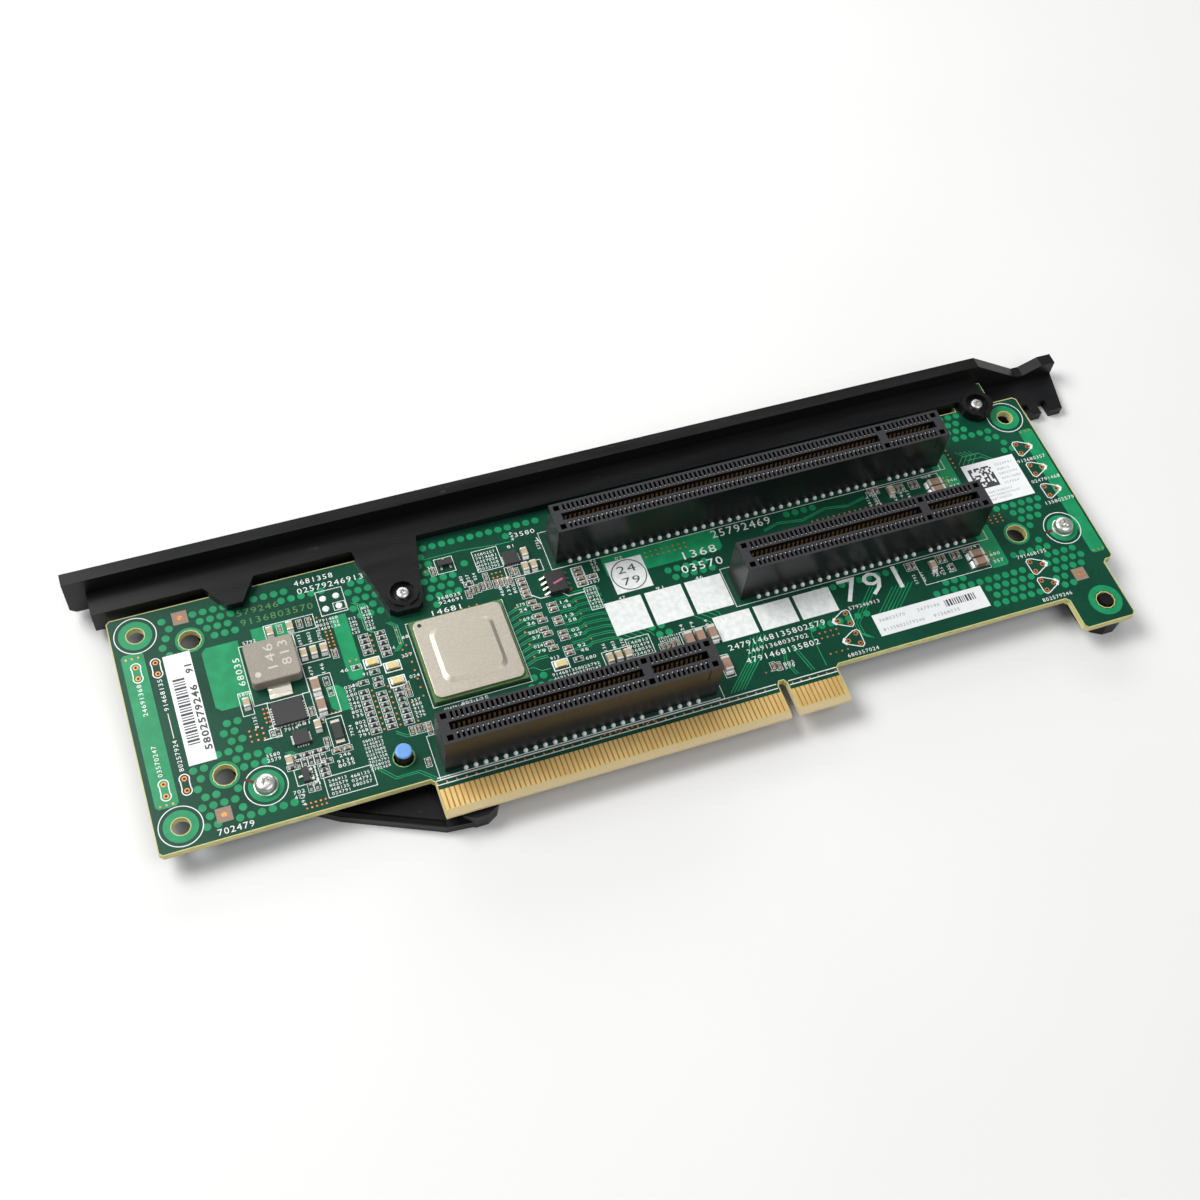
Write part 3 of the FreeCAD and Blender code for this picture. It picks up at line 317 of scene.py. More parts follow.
# Two test strips at the ends, then the power areas, each with some corners cut.
for left, right, near, far, corners, cut in (
    (-122.8, -118.4, 11.7, 46.2, (0, 1, 2, 3), 0.6), (77.1, 80.4, 11.2, 45.8, (0, 1, 2, 3), 0.5),
    (-107.7, -100.4, 28.7, 43.3, (0, 2), 1), (-81.7, -78.6, 27.7, 43.2, (0, 1), 0.6),
    (-86.6, -83.2, 21.8, 27.8, (0, 3), 1.2), (-97.5, -89.2, 41, 44.9, (3,), 0.7),
    (-24.9, 0.9, 35.4, 41, (0, 1), 0.8), (53.4, 57.9, 33.5, 44.6, (2,), 2.6),
    (54.4, 58.4, 14, 24.6, (2, 1), 0.6),
):
    made = patch(areas, left, right, near, far, pour_z)
    cut_corner(areas, made, corners, cut)

dot_radius = 0.78
dot_pitch_x = 2.045
dot_pitch_y = 2.0
dot_first_x = -114.6
dot_first_y = 5.75
row_offset = 1.0
dot_fields = [
    (-115.5, -112, 3.5, 19), (-112, -107, 4, 12.5), (-108.9, -97.5, 4.5, 6.5), (-110, -104, 19, 20.8),
    (-108, -104, 21, 26.8), (-107, -99.5, 14.8, 18.8), (-108.4, -99.5, 44.8, 52.5),
    (-115.5, -111.5, 43, 52.5), (-96, -88.5, 50.8, 52.5), (-91, -81.5, 48.8, 50.6),
    (-77, -71, 41, 50.6), (-61.8, -33.2, 52.8, 56.6), (-61.8, -59, 39.5, 52),
    (-43.5, -41.5, 50.8, 52.5), (-60.5, -55, 41, 46.8), (-53.9, -50.5, 46.8, 48.8),
    (-48.6, -43.8, 15.5, 18.8), (-12.6, -2.5, 31.4, 34.6), (-20.6, -16.5, 19, 22.6),
    (17.2, 25.4, 38.9, 40.6), (14.6, 34.2, 18.9, 20.6), (11, 25, 11.2, 12.6), (42.5, 48.6, 13, 14.6),
    (39, 62, 11, 12.6), (50.5, 62, 5, 10.6), (59.8, 69.8, 15, 18.6), (66.2, 75.5, 11, 14.6),
    (65.5, 69.5, 5, 10.6), (65.5, 75.5, 9, 10.6), (61, 73.5, 27, 28.8), (64.5, 72.5, 25, 26.8),
    (65.5, 71.5, 23, 24.8), (66.6, 68.4, 21, 22.8), (60.3, 66, 46.8, 54.5), (60.3, 72, 46.8, 48.6),
    (67.5, 73.5, 44.8, 46.6), (70.8, 74, 41, 44.6),
]
kept_clear = [(*place, 4.7) for place in ring_holes + screw_places]
kept_clear += [(*place, 3.7) for place in plain_holes]
kept_clear += [(-110.0, 51.7, 2.0), (-111.1, 7.3, 2.0), (71.7, 7.2, 2.0)]
dot_places = set()
for row in range(25):
    y = dot_first_y + dot_pitch_y * row
    for column in range(96):
        x = dot_first_x + (row % 2) * row_offset + dot_pitch_x * column
        inside = any(left <= x <= right and near <= y <= far for left, right, near, far in dot_fields)
        clear = all(math.hypot(x - spot_x, y - spot_y) > reach for spot_x, spot_y, reach in kept_clear)
        if inside and clear:
            dot_places.add((x, y))
for x, y in sorted(dot_places):
    disc(areas, x, y, dot_radius, pour_z, 14)
as_piece("copper_areas", areas, pour)

# ----------------------------------------
# Copper tracks run under the mask as fine raised lines: pairs from the switch chip to the
# sockets, a fan from the sockets to the edge contacts, and a few meandering ones that are
# matched in length.


def line_work(name, runs, width, rise, z, finish):
    """Thin flat lines along open or closed chains of points, joined into one piece."""
    curve = bpy.data.curves.new(name, "CURVE")
    curve.dimensions = "3D"
    curve.bevel_depth = width / 2 * mm
    curve.bevel_resolution = 0
    for points, closed in runs:
        spline = curve.splines.new("POLY")
        spline.points.add(len(points) - 1)
        for point, (x, y) in zip(spline.points, points):
            point.co = (x * mm, y * mm, 0, 1)
        spline.use_cyclic_u = closed
    holder = bpy.data.objects.new(name, curve)
    bpy.context.scene.collection.objects.link(holder)
    shape = bmesh.new()
    shape.from_mesh(bpy.data.meshes.new_from_object(holder))
    bpy.data.objects.remove(holder)
    bmesh.ops.scale(shape, vec=(1, 1, rise / width), verts=shape.verts)
    shift(shape, 0, 0, z)
    bmesh.ops.recalc_face_normals(shape, faces=shape.faces)
    return as_piece(name, shape, finish)


def bundle(points, count, step_x, step_y):
    """Parallel copies of one run of points."""
    return [([(x + step_x * i, y + step_y * i) for x, y in points], False) for i in range(count)]


tracks = []
first_pair_y = 34.3
pair_pitch = 1.55
pair_gap = 0.45
for step in range(9):
    y = first_pair_y - step * pair_pitch
    low = [(-47.6, y - 0.9), (-45.2, y), (-42.8, y)]
    high = [(-37.2, y - 0.2), (-34.0, y - 0.2), (-33.2, y + 0.3), (-29.5, y + 0.2), (-27.6, y - 0.2)]
    tracks += bundle(low, 2, 0, -pair_gap) + bundle(high, 2, 0, -pair_gap)
for count, step_x, step_y, points in (
    (5, 1.1, 0.3, [(-28, 21.8), (-25.5, 19.6), (-25, 18.6)]),
    (5, 0.75, 0, [(-2, 13.6), (-4.4, 9), (-7.5, 6), (-10.8, 2.7)]),
    (2, 0.5, 0, [(3.3, 9.2), (2.4, 6), (3.6, 2.8)]), (2, 0.6, 0, [(5.2, 9.2), (7, 2.7)]),
    (1, 0.5, 0, [(12, 13.6), (10.3, 10.5), (10.3, 2.9)]),
    (4, 0.8, 0.6, [(-11.2, 21.8), (-8.4, 19.4), (-8, 17)]),
    (3, -0.55, 0.3, [(28, 17), (21, 10), (21, 7.4), (22.5, 5.9)]),
    (6, 0.95, 0, [(31.5, 16.2), (25.6, 10.6)]),
    (2, 0, -0.4, [(11, 37.4), (14.5, 38.4), (20, 37.6), (26, 39), (31, 38.2), (35.5, 39.2)]),
    (4, 1, -0.2, [(59.6, 40.8), (61.6, 43), (60.4, 44.4)]),
    (2, -0.4, 1.2, [(62, 41.5), (65.8, 41.5), (68.6, 38.9)]),
    (2, 0.35, 0.35, [(-82.2, 8.2), (-79, 4.7), (-74.5, 4.7), (-71.4, 1.9)]),
    (2, 0.4, 0, [(-76.8, 45.2), (-75.8, 44.4), (-75.8, 38.4), (-74.6, 37.2)]),
    (3, 0.4, 0, [(-71.4, 38.6), (-70.2, 37.4), (-70.2, 33), (-71.6, 31.6)]),
    (3, 0.5, 0, [(-97.4, 16.4), (-95.8, 15), (-95.8, 14)]),
    (1, 0, 0, [(-49, 19.9), (-46.4, 20), (-45, 18.8), (-43.2, 18.8)]),
    (1, 0, 0, [(-60, 51), (-52, 51), (-44, 50.2), (-41, 50.2)]),
    (2, 0, 0.5, [(-70.5, 12.6), (-74.5, 12.6), (-76.2, 14)]),
):
    tracks += bundle(points, count, step_x, step_y)
line_work("copper_tracks", tracks, 0.2, 0.05, 0.008, pour)

# ----------------------------------------
# Plated holes: each is a copper ring, left bare by the mask, around a drilled hole, drawn as a flat
# dark disc of painted shade. Test strips have larger ones, and square bare pads with a copper spot
# are the assembly marks.

copper = Finish("bare_copper", metallic=0.6, roughness=0.4)
tarnish = copper.noise(0.8, 2)
copper.colour((232, 148, 86), (186, 108, 60), copper.soft_step(tarnish, 0.4, 0.7))
copper.grain(0.2, 2, 0.004, 0.4)

# The holes are flat dark discs on the card: painted shade where the bores are.
hole_shade = Finish("drilled_hole", roughness=0.8).speckle((30, 12, 6), (60, 26, 14), 0.3)

# Small ones in grids: the first one, columns and rows, and the two pitches.
small_vias = []
for left, near, columns, rows, pitch_x, pitch_y in (
    (-96.3, 3.8, 5, 2, 0.93, 0.9), (-102.8, 20.5, 3, 3, 1.25, 1.15), (-99.2, 23.7, 2, 4, 0.7, 1),
    (-83.4, 35.8, 2, 6, 0.9, 0.85), (-80.6, 30.9, 2, 2, 1.3, 1.2), (-86.9, 21.9, 3, 1, 0.8, 1),
    (-47.6, 42.6, 3, 2, 0.9, 1), (-15.5, 38.2, 8, 2, 1.27, 1.1), (21.9, 36.4, 14, 1, 1.27, 1),
    (12, 9, 4, 2, 1.25, 1.2), (12.2, 5.1, 4, 1, 1.3, 1), (59.6, 24.6, 3, 3, 1.3, 0.85),
    (58.6, 40.6, 1, 6, 1, 1.2), (-78.2, 15.6, 1, 8, 1, 1.27), (-75, 15.6, 1, 8, 1, 1.27),
    (-71.5, 15.4, 1, 5, 1, 2.1), (-75.2, 33, 1, 4, 1, 1.25), (-69, 20.4, 1, 8, 1, 2),
    (-70, 30, 1, 5, 1, 1.6), (-56, 37.4, 3, 1, 1.6, 1), (-45.5, 22.3, 1, 5, 1, 3),
    (-33.2, 22.9, 1, 5, 1, 3.1), (54.6, 36.9, 2, 3, 1, 0.9), (54.6, 16.3, 2, 3, 1, 0.9),
    (-71.9, 1.25, 36, 1, 1.94, 1), (2, 1.25, 6, 1, 1.9, 1), (-38, 1.6, 10, 1, 1.15, 1),
    (-121.9, 45.1, 3, 1, 1.2, 1), (-121.9, 12.3, 3, 1, 1.2, 1), (77.5, 45.3, 3, 1, 1.1, 1),
    (77.8, 11.8, 3, 1, 1.1, 1), (-85.5, 43.8, 3, 1, 1.2, 1), (-61.9, 48, 2, 1, 1.4, 1),
    (-2.2, 5, 4, 1, 1.2, 1),
):
    for column in range(columns):
        small_vias += [(left + pitch_x * column, near + pitch_y * row) for row in range(rows)]

capsules = [(-120.4, 41.65), (-116.6, 41.65), (-120.4, 15.4), (-116.5, 15.4)]
pointed_right = [(75.6, 41.2), (76.0, 35.1), (76.3, 28.9), (63.6, 11.9), (63.7, 6.95)]
pointed_left = [(18.4, 11.85), (18.5, 6.85)]
capsule_half = 1.27
large_vias = [(x, y + offset) for x, y in capsules for offset in (-capsule_half, capsule_half)]
for x, y in pointed_right:
    large_vias += [(x - 0.8, y + 1.2), (x - 0.7, y - 1.2), (x + 1.5, y)]
for x, y in pointed_left:
    large_vias += [(x + 0.7, y + 1.2), (x + 0.7, y - 1.2), (x - 1.5, y)]

rings = bmesh.new()
shade_discs = bmesh.new()
via_z = 0.022
bore_radius = 0.27
for x, y in small_vias:
    disc(rings, x, y, 0.21, via_z, 10)
for x, y in large_vias:
    ring(rings, x, y, bore_radius, 0.52, via_z, 18)
    disc(shade_discs, x, y, bore_radius, via_z, 12)
mark_places = [(-110.0, 51.7), (-111.1, 7.3), (71.8, 7.25)]
for x, y in mark_places:
    disc(rings, x, y, 0.5, via_z + 0.02, 20)
as_piece("plated_rings", rings, copper)
as_piece("drilled_holes", shade_discs, hole_shade)

bare = Finish("bare_laminate", roughness=0.6)
bare.speckle((126, 106, 90), (148, 126, 106), 0.7).grain(0.25, 2, 0.006, 0.5)
marks = bmesh.new()
mark_half = 1.5
for x, y in mark_places:
    patch(marks, x - mark_half, x + mark_half, y - mark_half, y + mark_half, via_z)
as_piece("assembly_marks", marks, bare)

# ----------------------------------------
# White ink, screened over the mask: rings round the fixing holes, outlines of the sockets and
# parts, four plain squares, and plain figures where the real card has its lettering.

ink = Finish("white_ink", roughness=0.55)
patchy = ink.noise(1.2, 4)
ink.colour((214, 218, 215), (231, 233, 230), ink.soft_step(patchy, 0.3, 0.7)).grain(0.3, 3, 0.006, 0.5)
ink_z = 0.03


def loop(x, y, radius, sides=56, start=0, turn=360):
    """Points round a circle, or round part of one."""
    closed = turn == 360
    steps = sides if closed else sides + 1
    angles = [math.radians(start + turn * i / sides) for i in range(steps)]
    return [(x + radius * math.cos(a), y + radius * math.sin(a)) for a in angles], closed


def box_line(left, right, near, far):
    """The closed outline of a rectangle."""
    return [(left, near), (right, near), (right, far), (left, far)], True


def ink_lines(name, runs, width):
    """Lines of white ink."""
    line_work(name, runs, width, 0.02, ink_z, ink)


def corners_of(name):
    """The lowest and the highest corner of a node's box, in millimetres."""
    return [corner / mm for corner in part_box(name)]


chip_low, chip_high = corners_of("switch_chip_substrate")
margin = 0.5
ring_radius = 4.085
outlines = [loop(x, y, ring_radius) for x, y in ring_holes + screw_places]
chip_box = (chip_low.x - margin, chip_high.x + margin, chip_low.y - margin, chip_high.y + margin)
outlines.append(box_line(*chip_box))
outlines += [box_line(*box) for box in (
    (-71, -12.4, 2, 11.6), (-1.9, 56.7, 21.2, 30.8), (-35.4, 56.2, 40.9, 50.5),
    (-83.2, -77.8, 43.8, 49.6), (-80.4, -78, 44.4, 46.2), (-103.1, -100.9, 26.2, 31.4),
    (-98.2, -91.2, 22, 27.7), (-89.7, -85, 21.8, 30.8), (-88.4, -85.3, 14.6, 21),
    (-96.8, -92.9, 8.7, 12.2), (-91.9, -82.6, 4.6, 9), (-90, -84, 34.2, 38.3),
    (-94.9, -84.9, 41.6, 44.9), (-99.2, -97.1, 20.1, 21.9), (-58.1, -54.3, 46.6, 50.3),
    (-50.1, -44.7, 44.7, 49.9), (-44.8, -37, 41.4, 44.2), (-31.7, -29.3, 35.3, 40.1),
    (-29, -26.9, 36.4, 37.5), (-32.4, -26.4, 15.6, 19.1), (-30.7, -28.2, 29.2, 34.7),
    (-26.8, -21.8, 16.1, 20.6), (-15.7, -8.2, 14.9, 18.9), (-10.3, -8.2, 6.2, 11.4),
    (38.2, 53.8, 35, 40.4), (38.6, 54.2, 14.4, 20.6),
)]
for points in (
    [(-72, 0.95), (-1.3, 0.95)], [(-72, 1.9), (-1.3, 1.9)], [(1.3, 0.95), (11.9, 0.95)],
    [(1.3, 1.9), (11.9, 1.9)], [(-71.6, 2.4), (-13.2, 2.4)],
    [(-89.6, 41.6), (-100.6, 41.6), (-100.6, 27.8), (-97.9, 27.8)],
    [(-91.3, 27.8), (-89.8, 27.8), (-89.8, 41.6)],
    [(-41.6, 36.4), (-39.9, 35), (-35.2, 35), (-34.2, 33.9), (-30.8, 33.9)],
    [(55.1, 42.3), (55.1, 41), (52.6, 41)], [(-35.4, 47.6), (-36, 49.6)],
    [(-100.6, 20.1), (-98.8, 20.1)], [(-112.5, 36), (-112.5, 26)],
):
    outlines.append((points, False))
ink_lines("ink_lines", outlines, 0.19)

lamp_boxes = [(-78.1, -74.9, 29.4, 31.6), (-74.5, -71.3, 27.4, 29.6), (-74.5, -71.3, 23.9, 26.1),
              (-42.6, -39.4, 17.9, 20.1)]
lamp_outlines = [box_line(*box) for box in lamp_boxes]
ink_lines("lamp_outlines", lamp_outlines, 0.34)

coupons = []
wedge = [(-1.2, 2), (-0.2, 1.9), (2, 0.7), (2.5, 0), (2, -0.7), (-0.3, -1.9), (-0.9, -2.1),
         (-1.5, -1.6), (-1.65, 1.5)]
for x, y in capsules:
    far_half = loop(x, y + capsule_half, 0.95, 12, -30, 240)[0]
    near_half = loop(x, y - capsule_half, 0.95, 12, 150, 240)[0]
    coupons.append((far_half + near_half, True))
tips = []
wedge_tip = [(2, 0.75), (2.6, 0), (2, -0.75)]
for side, places in ((1, pointed_right), (-1, pointed_left)):
    for x, y in places:
        coupons.append(([(x + side * dx, y + dy) for dx, dy in wedge], True))
        tips.append(([(x + side * dx, y + dy) for dx, dy in wedge_tip], False))
ink_lines("coupon_outlines", coupons, 0.22)
ink_lines("coupon_tips", tips, 0.6)

fills = bmesh.new()
squares = ((-24.5, -16.5, 31.2), (-28, -20, 21.9), (-19.2, -11.1, 21.9), (-10.3, -2.2, 21.9))
for left, right, near in squares:
    patch(fills, left, right, near, near + 8.0, ink_z)
for left in (-7.9, 1.1, 10.1):
    patch(fills, left, left + 8.2, 14.2, 20.2, ink_z)


def join(shape, other):
    """Add another bmesh to this one."""
    mesh = bpy.data.meshes.new("joined")
    other.to_mesh(mesh)
    other.free()
    shape.from_mesh(mesh)
    bpy.data.meshes.remove(mesh)


running = itertools.count(3)


def figures(shape, x, y, length, height, z, turn=0, weight=0.0):
    """Print plain figures where the card has lettering, fitted to a length and centred on y."""
    count = max(2, round(length / (height * 0.95)))
    curve = bpy.data.curves.new("figures", "FONT")
    curve.body = "".join(str(next(running) * 7 // 3 % 10) for _ in range(count))
    curve.resolution_u = 2
    curve.space_character = 1.15
    curve.offset = weight
    holder = bpy.data.objects.new("figures", curve)
    flat = bpy.data.meshes.new_from_object(holder)
    bpy.data.objects.remove(holder)
    text = bmesh.new()
    text.from_mesh(flat)
    bpy.data.meshes.remove(flat)
    left = min(vert.co.x for vert in text.verts)
    right = max(vert.co.x for vert in text.verts)
    bottom = min(vert.co.y for vert in text.verts)
    top = max(vert.co.y for vert in text.verts)
    bmesh.ops.translate(text, vec=(-left, -(bottom + top) / 2, 0), verts=text.verts)
    fit = (length / (right - left) * mm, height / (top - bottom) * mm, 1)
    bmesh.ops.scale(text, vec=fit, verts=text.verts)
    about = Matrix.Rotation(math.radians(turn), 3, "Z")
    bmesh.ops.rotate(text, cent=(0, 0, 0), matrix=about, verts=text.verts)
    shift(text, x, y, z)
    join(shape, text)


def lettering(x, y, length, height, turn=0):
    """Figures in white ink."""
    figures(fills, x, y, length, height, ink_z, turn)


def legend(left, near, columns, rows, pitch_x, pitch_y):
    """Short figures in rows, as beside a crowded group of parts."""
    for row in range(rows):
        lettering(left, near + pitch_y * (row + 0.35), pitch_x * columns * 0.92, pitch_y * 0.72)


for x, y, length, height, turn in (
    (20.4, 18.1, 13.6, 5.6, 0), (-86.7, 52.9, 8, 1.2, 0), (-86.5, 50.9, 13.6, 1.3, 0),
    (-101.7, 32.9, 6.4, 1.3, 90), (-113, 4, 6.8, 1.3, 0), (-62, 38, 6, 1.2, 0),
    (-40.2, 51.4, 4.4, 1.1, 0), (-0.3, 39.5, 13.6, 1.9, 0), (-8, 36.2, 7.4, 1.9, 0),
    (-9.6, 33, 9.2, 1.9, 0), (-7.3, 12.5, 21.5, 1.3, 0), (-4, 10.6, 13.5, 1, 0),
    (-5, 8.6, 16.2, 1.3, 0),
):
    lettering(x, y, length, height, turn)
for x, y, length in (
    (20.3, 13.9, 7), (15.4, 3.6, 7), (60.6, 14.9, 7), (60.8, 3.6, 7), (72.9, 37.9, 6.9), (73.3, 32, 7),
    (73.6, 25.9, 7),
):
    lettering(x, y, length, 0.85)
for x in (-120.6, -116.6):
    lettering(x, 31.8, 7.2, 0.9, 90)
    lettering(x, 18.3, 6.8, 0.9, 90)
patch(fills, -116.65, -116.5, 25.6, 31.2, ink_z)
for x, y, length in (
    (-88.8, 38.6, 2.4), (-86.8, 38.6, 2.4), (-84.8, 38.6, 2.4), (-88.4, 31.1, 2.2), (-86.1, 31.1, 2.2),
    (-101.2, 23, 2.6), (-98.6, 20.4, 2.4), (-84.3, 16, 2.4), (-96.6, 4.6, 2.4), (-54, 43.1, 1.8),
    (-52.6, 43.1, 1.8), (-51.2, 43.1, 1.8), (-49.6, 45.1, 1.8), (-47, 37.7, 2.2), (-45.5, 37.7, 2.2),
    (-44.3, 37.7, 2.2), (-36.2, 46.6, 2.4), (-40.8, 50.2, 2.2), (-31.4, 19.3, 1.8), (-29.4, 19.3, 1.8),
    (-27.5, 19.3, 1.8), (-14.7, 19.1, 1.6), (-12.4, 19.1, 1.6), (-9.4, 19.1, 1.2), (36, 36.4, 2.4),
    (37.6, 36.4, 2.4), (37, 15.2, 2.4), (38.8, 15.2, 2.4), (42, 15.6, 2), (43.6, 15.6, 2),
    (45.2, 15.6, 2), (42, 36, 2), (43.6, 36, 2), (45.2, 36, 2),
):
    lettering(x, y, length, 0.7, 90)
for x, y, length in (
    (-103, 31, 2.6), (-99.6, 42.2, 2.6), (-83, 30.4, 1.6), (-79, 28.4, 1.8), (-82.2, 26.6, 1.8),
    (-70.6, 30.2, 2.2), (-70.4, 25.2, 2), (-96.4, 21, 2.6), (-93.8, 21.4, 2.4), (-101, 16.6, 2.6),
    (-101, 15.6, 2.6), (-87.9, 12.6, 2.2), (-88.6, 11.4, 3.2), (-88.6, 10.5, 3.2), (-98, 7.6, 2.2),
    (-98, 6.6, 2), (-72.2, 32.6, 0.9), (-69.4, 34.3, 1.4), (-59.4, 16.4, 2.4), (-62.4, 16.4, 2.2),
    (-45.2, 34.7, 1.8), (-45, 33.4, 1.6), (-44.9, 31.2, 1.9), (-44.5, 29.9, 1.7), (-44.9, 27.8, 1.9),
    (-44.5, 26.5, 1.7), (-44.9, 24.4, 1.9), (-44.5, 23.1, 1.7), (-36.4, 32.9, 1.7), (-36.2, 31.7, 1.7),
    (-36.4, 29.5, 1.7), (-36.2, 28.3, 1.7), (-36.4, 25.9, 1.7), (-36.2, 24.7, 1.7), (-36.4, 22.1, 1.7),
    (-36.2, 20.9, 1.7), (-42.6, 20.9, 1.8), (-35.8, 18.9, 2.2), (-29, 35.7, 2.3), (-22, 39.7, 1.6),
    (-24.6, 30.2, 1.4), (-16.4, 30.2, 1.6), (-7.6, 30.2, 1.6), (-42.6, 49, 1.4), (-59.9, 48.6, 1.2),
    (1.9, 5.7, 2.4), (1.9, 4.9, 2.2), (55, 37.7, 2.4), (55, 36.1, 2.4), (55.2, 17.3, 2.4),
    (55.2, 15.5, 2.4), (51, 20.3, 2.4), (41, 16.3, 2), (49.8, 40.2, 2.4),
):
    lettering(x, y, length, 0.75)
for group in (
    (-83.2, 19.6, 2, 8, 1.1, 0.95), (-83.2, 15.2, 2, 4, 1.1, 0.95), (-82.9, 7.6, 5, 9, 0.82, 0.78),
    (-84.8, 40.6, 6, 3, 0.82, 0.95), (-78.4, 37.9, 2, 5, 0.8, 0.85), (-75.4, 37.9, 2, 7, 0.9, 0.85),
    (-71.6, 16, 2, 5, 1, 0.9), (-91.2, 5, 4, 4, 0.95, 0.9), (-87, 5.5, 4, 3, 1, 0.95),
    (-49.7, 45, 5, 5, 0.95, 0.9), (-60, 39.5, 7, 2, 0.75, 1.1), (-30.4, 29.5, 2, 6, 1.05, 0.84),
    (-26.4, 16.4, 5, 4, 0.9, 0.95), (-27.3, 37.9, 2, 4, 0.7, 0.8), (-43.4, 15.9, 8, 2, 1.35, 0.95),
    (-20.2, 17.8, 5, 2, 0.9, 0.7), (-94.6, 8, 3, 5, 0.7, 0.85), (36.2, 38.8, 3, 2, 0.8, 0.8),
    (-66, 15.9, 14, 1, 0.62, 0.8),
):
    legend(*group)
as_piece("ink_fills", fills, ink)

faint_copper = Finish("faint_copper_figures", roughness=0.35).speckle((62, 112, 62), (84, 126, 70), 0.6)
sunk_figures = bmesh.new()
figures(sunk_figures, -99.2, 49.3, 8.4, 1.4, ink_z)
figures(sunk_figures, -98.9, 46.9, 14.6, 1.5, ink_z)
as_piece("figures_under_mask", sunk_figures, faint_copper)

dark_ink = Finish("dark_ink", roughness=0.6).speckle((40, 40, 44), (84, 84, 88), 0.5)
stamp = bmesh.new()
stamp_z = 0.05
ring(stamp, -20.5, 35.2, 3.55, 3.78, stamp_z)
figures(stamp, -22.6, 36.7, 4.0, 1.8, stamp_z)
figures(stamp, -22.4, 33.7, 3.8, 1.8, stamp_z)
as_piece("dark_stamp", stamp, dark_ink)

# ----------------------------------------
# The edge contacts are copper pads plated with hard gold, rolled flat and faintly scratched
# along their length by every insertion.

gold = Finish("hard_gold", metallic=0.7)
wear = gold.noise(0.18, 2, (1, 0.12, 1))
blush = gold.noise(7, 2)
gold_colour = gold.mix(hue(240, 202, 128), hue(222, 180, 104), gold.soft_step(blush, 0.35, 0.7))
gold.set(base_color=gold.mix(gold_colour, hue(250, 224, 164), wear * 0.35))
gold.set(roughness=0.34 + wear * 0.22)
gold.bump(wear, 0.004, 0.5)
dress(gold, "edge_contacts")


def block(left, right, near, far, bottom, top):
    """A bmesh with one rectangular block in it, in millimetres."""
    shape = bmesh.new()
    bmesh.ops.create_cube(shape, size=1.0)
    size = ((right - left) * mm, (far - near) * mm, (top - bottom) * mm)
    bmesh.ops.scale(shape, vec=size, verts=shape.verts)
    middle = Vector(((left + right) / 2, (near + far) / 2, (bottom + top) / 2)) * mm
    bmesh.ops.translate(shape, vec=middle, verts=shape.verts)
    return shape


# The underside has the same contacts, at the same places.
low, high = corners_of("edge_contacts")
board_low = corners_of("circuit_board")[0]
contact_width = 0.7
contact_thickness = 0.05
notch_half = 1.2
under_contacts = bmesh.new()
for index in range(round(high.x - low.x - contact_width) + 1):
    left = low.x + index
    right = left + contact_width
    if abs(left + right) / 2 >= notch_half:
        foot = board_low.z - contact_thickness
        join(under_contacts, block(left, right, low.y, high.y, foot, board_low.z))
as_piece("under_contacts", under_contacts, gold)

# ----------------------------------------
# The sockets are moulded in black glass-filled plastic: dull on top, where the tool's face was
# eroded, and smooth on the sides. Their tops are also painted lighter and their sides darker:
# painted light and painted shade. Their contacts are stamped springs with a bright tip, partly
# plating and partly painted glints, and small tin blocks in the slot are painted glints. Their
# tails come through the board and are soldered, every other one outside the housing; the joints
# on the near side are painted brighter, as painted highlights.

moulding = Finish("socket_moulding", specular_ior_level=0.3)
speck = moulding.noise(0.22, 3)
top_face = moulding.axes(moulding.node("ShaderNodeTexCoord", {}, {}, "Normal"))[2]
eroded_and_lit_top = moulding.soft_step(top_face, 0.7, 0.95)
# The sides get a darker colour and the top faces a lighter one: painted shade and painted light, on top
# of the real duller finish of the top.
shaded_side_colour = moulding.mix(hue(15, 15, 16), hue(24, 24, 25), moulding.noise(9, 2))
lit_top_colour = moulding.mix(hue(38, 38, 40), hue(60, 60, 62), moulding.soft_step(speck, 0.4, 0.75))
moulding.set(base_color=moulding.mix(shaded_side_colour, lit_top_colour, eroded_and_lit_top))
moulding.set(roughness=0.28 + eroded_and_lit_top * 0.34)
moulding.bump(speck, 0.012, 0.6)
spring = Finish("plated_spring", metallic=0.3, roughness=0.4)
spring.speckle((112, 84, 54), (156, 128, 92), 0.6, 2).grain(0.15, 2, 0.004, 0.4)
# How many contacts come before the key, and after it.
contact_counts = {"x16_socket": 71, "x8_left_socket": 38, "x8_right_socket": 38}
count_after_key = 11
for name in contact_counts:
    dress(moulding, f"{name}_housing")
    dress(spring, f"{name}_contacts")

tin = Finish("solder_and_tin", metallic=0.3)
tin.speckle((232, 232, 228), (250, 250, 246), 0.5, 2).sheen(0.18, 0.2, 0.4).grain(0.4, 2, 0.02, 0.5)


def soften(shape, edges, width, segments):
    """Round some edges of a bmesh; one segment only cuts them off."""
    bmesh.ops.bevel(shape, geom=edges, offset=width * mm, affect="EDGES", segments=segments,
                    profile=0.5, material=-1)


def dome(radius, stretch, segments, rings):
    """The upper half of a ball, with its height stretched or pressed down."""
    ball = bmesh.new()
    bmesh.ops.create_uvsphere(ball, u_segments=segments, v_segments=rings, radius=radius * mm)
    bmesh.ops.scale(ball, vec=(1, 1, stretch), verts=ball.verts)
    bmesh.ops.bisect_plane(ball, geom=ball.verts[:] + ball.edges[:] + ball.faces[:],
                           plane_co=(0, 0, 0), plane_no=(0, 0, 1), clear_inner=True)
    return ball


def repeated(name, pattern, places, finish, smooth=False):
    """Join one copy of a pattern at each place, given as x, y and a turn in degrees."""
    copies = bmesh.new()
    for x, y, turn in places:
        placed = pattern.copy()
        spot = Matrix.Translation((x * mm, y * mm, 0)) @ Matrix.Rotation(math.radians(turn), 4, "Z")
        bmesh.ops.transform(placed, matrix=spot, verts=placed.verts)
        join(copies, placed)
    pattern.free()
    return as_piece(name, copies, finish, smooth)


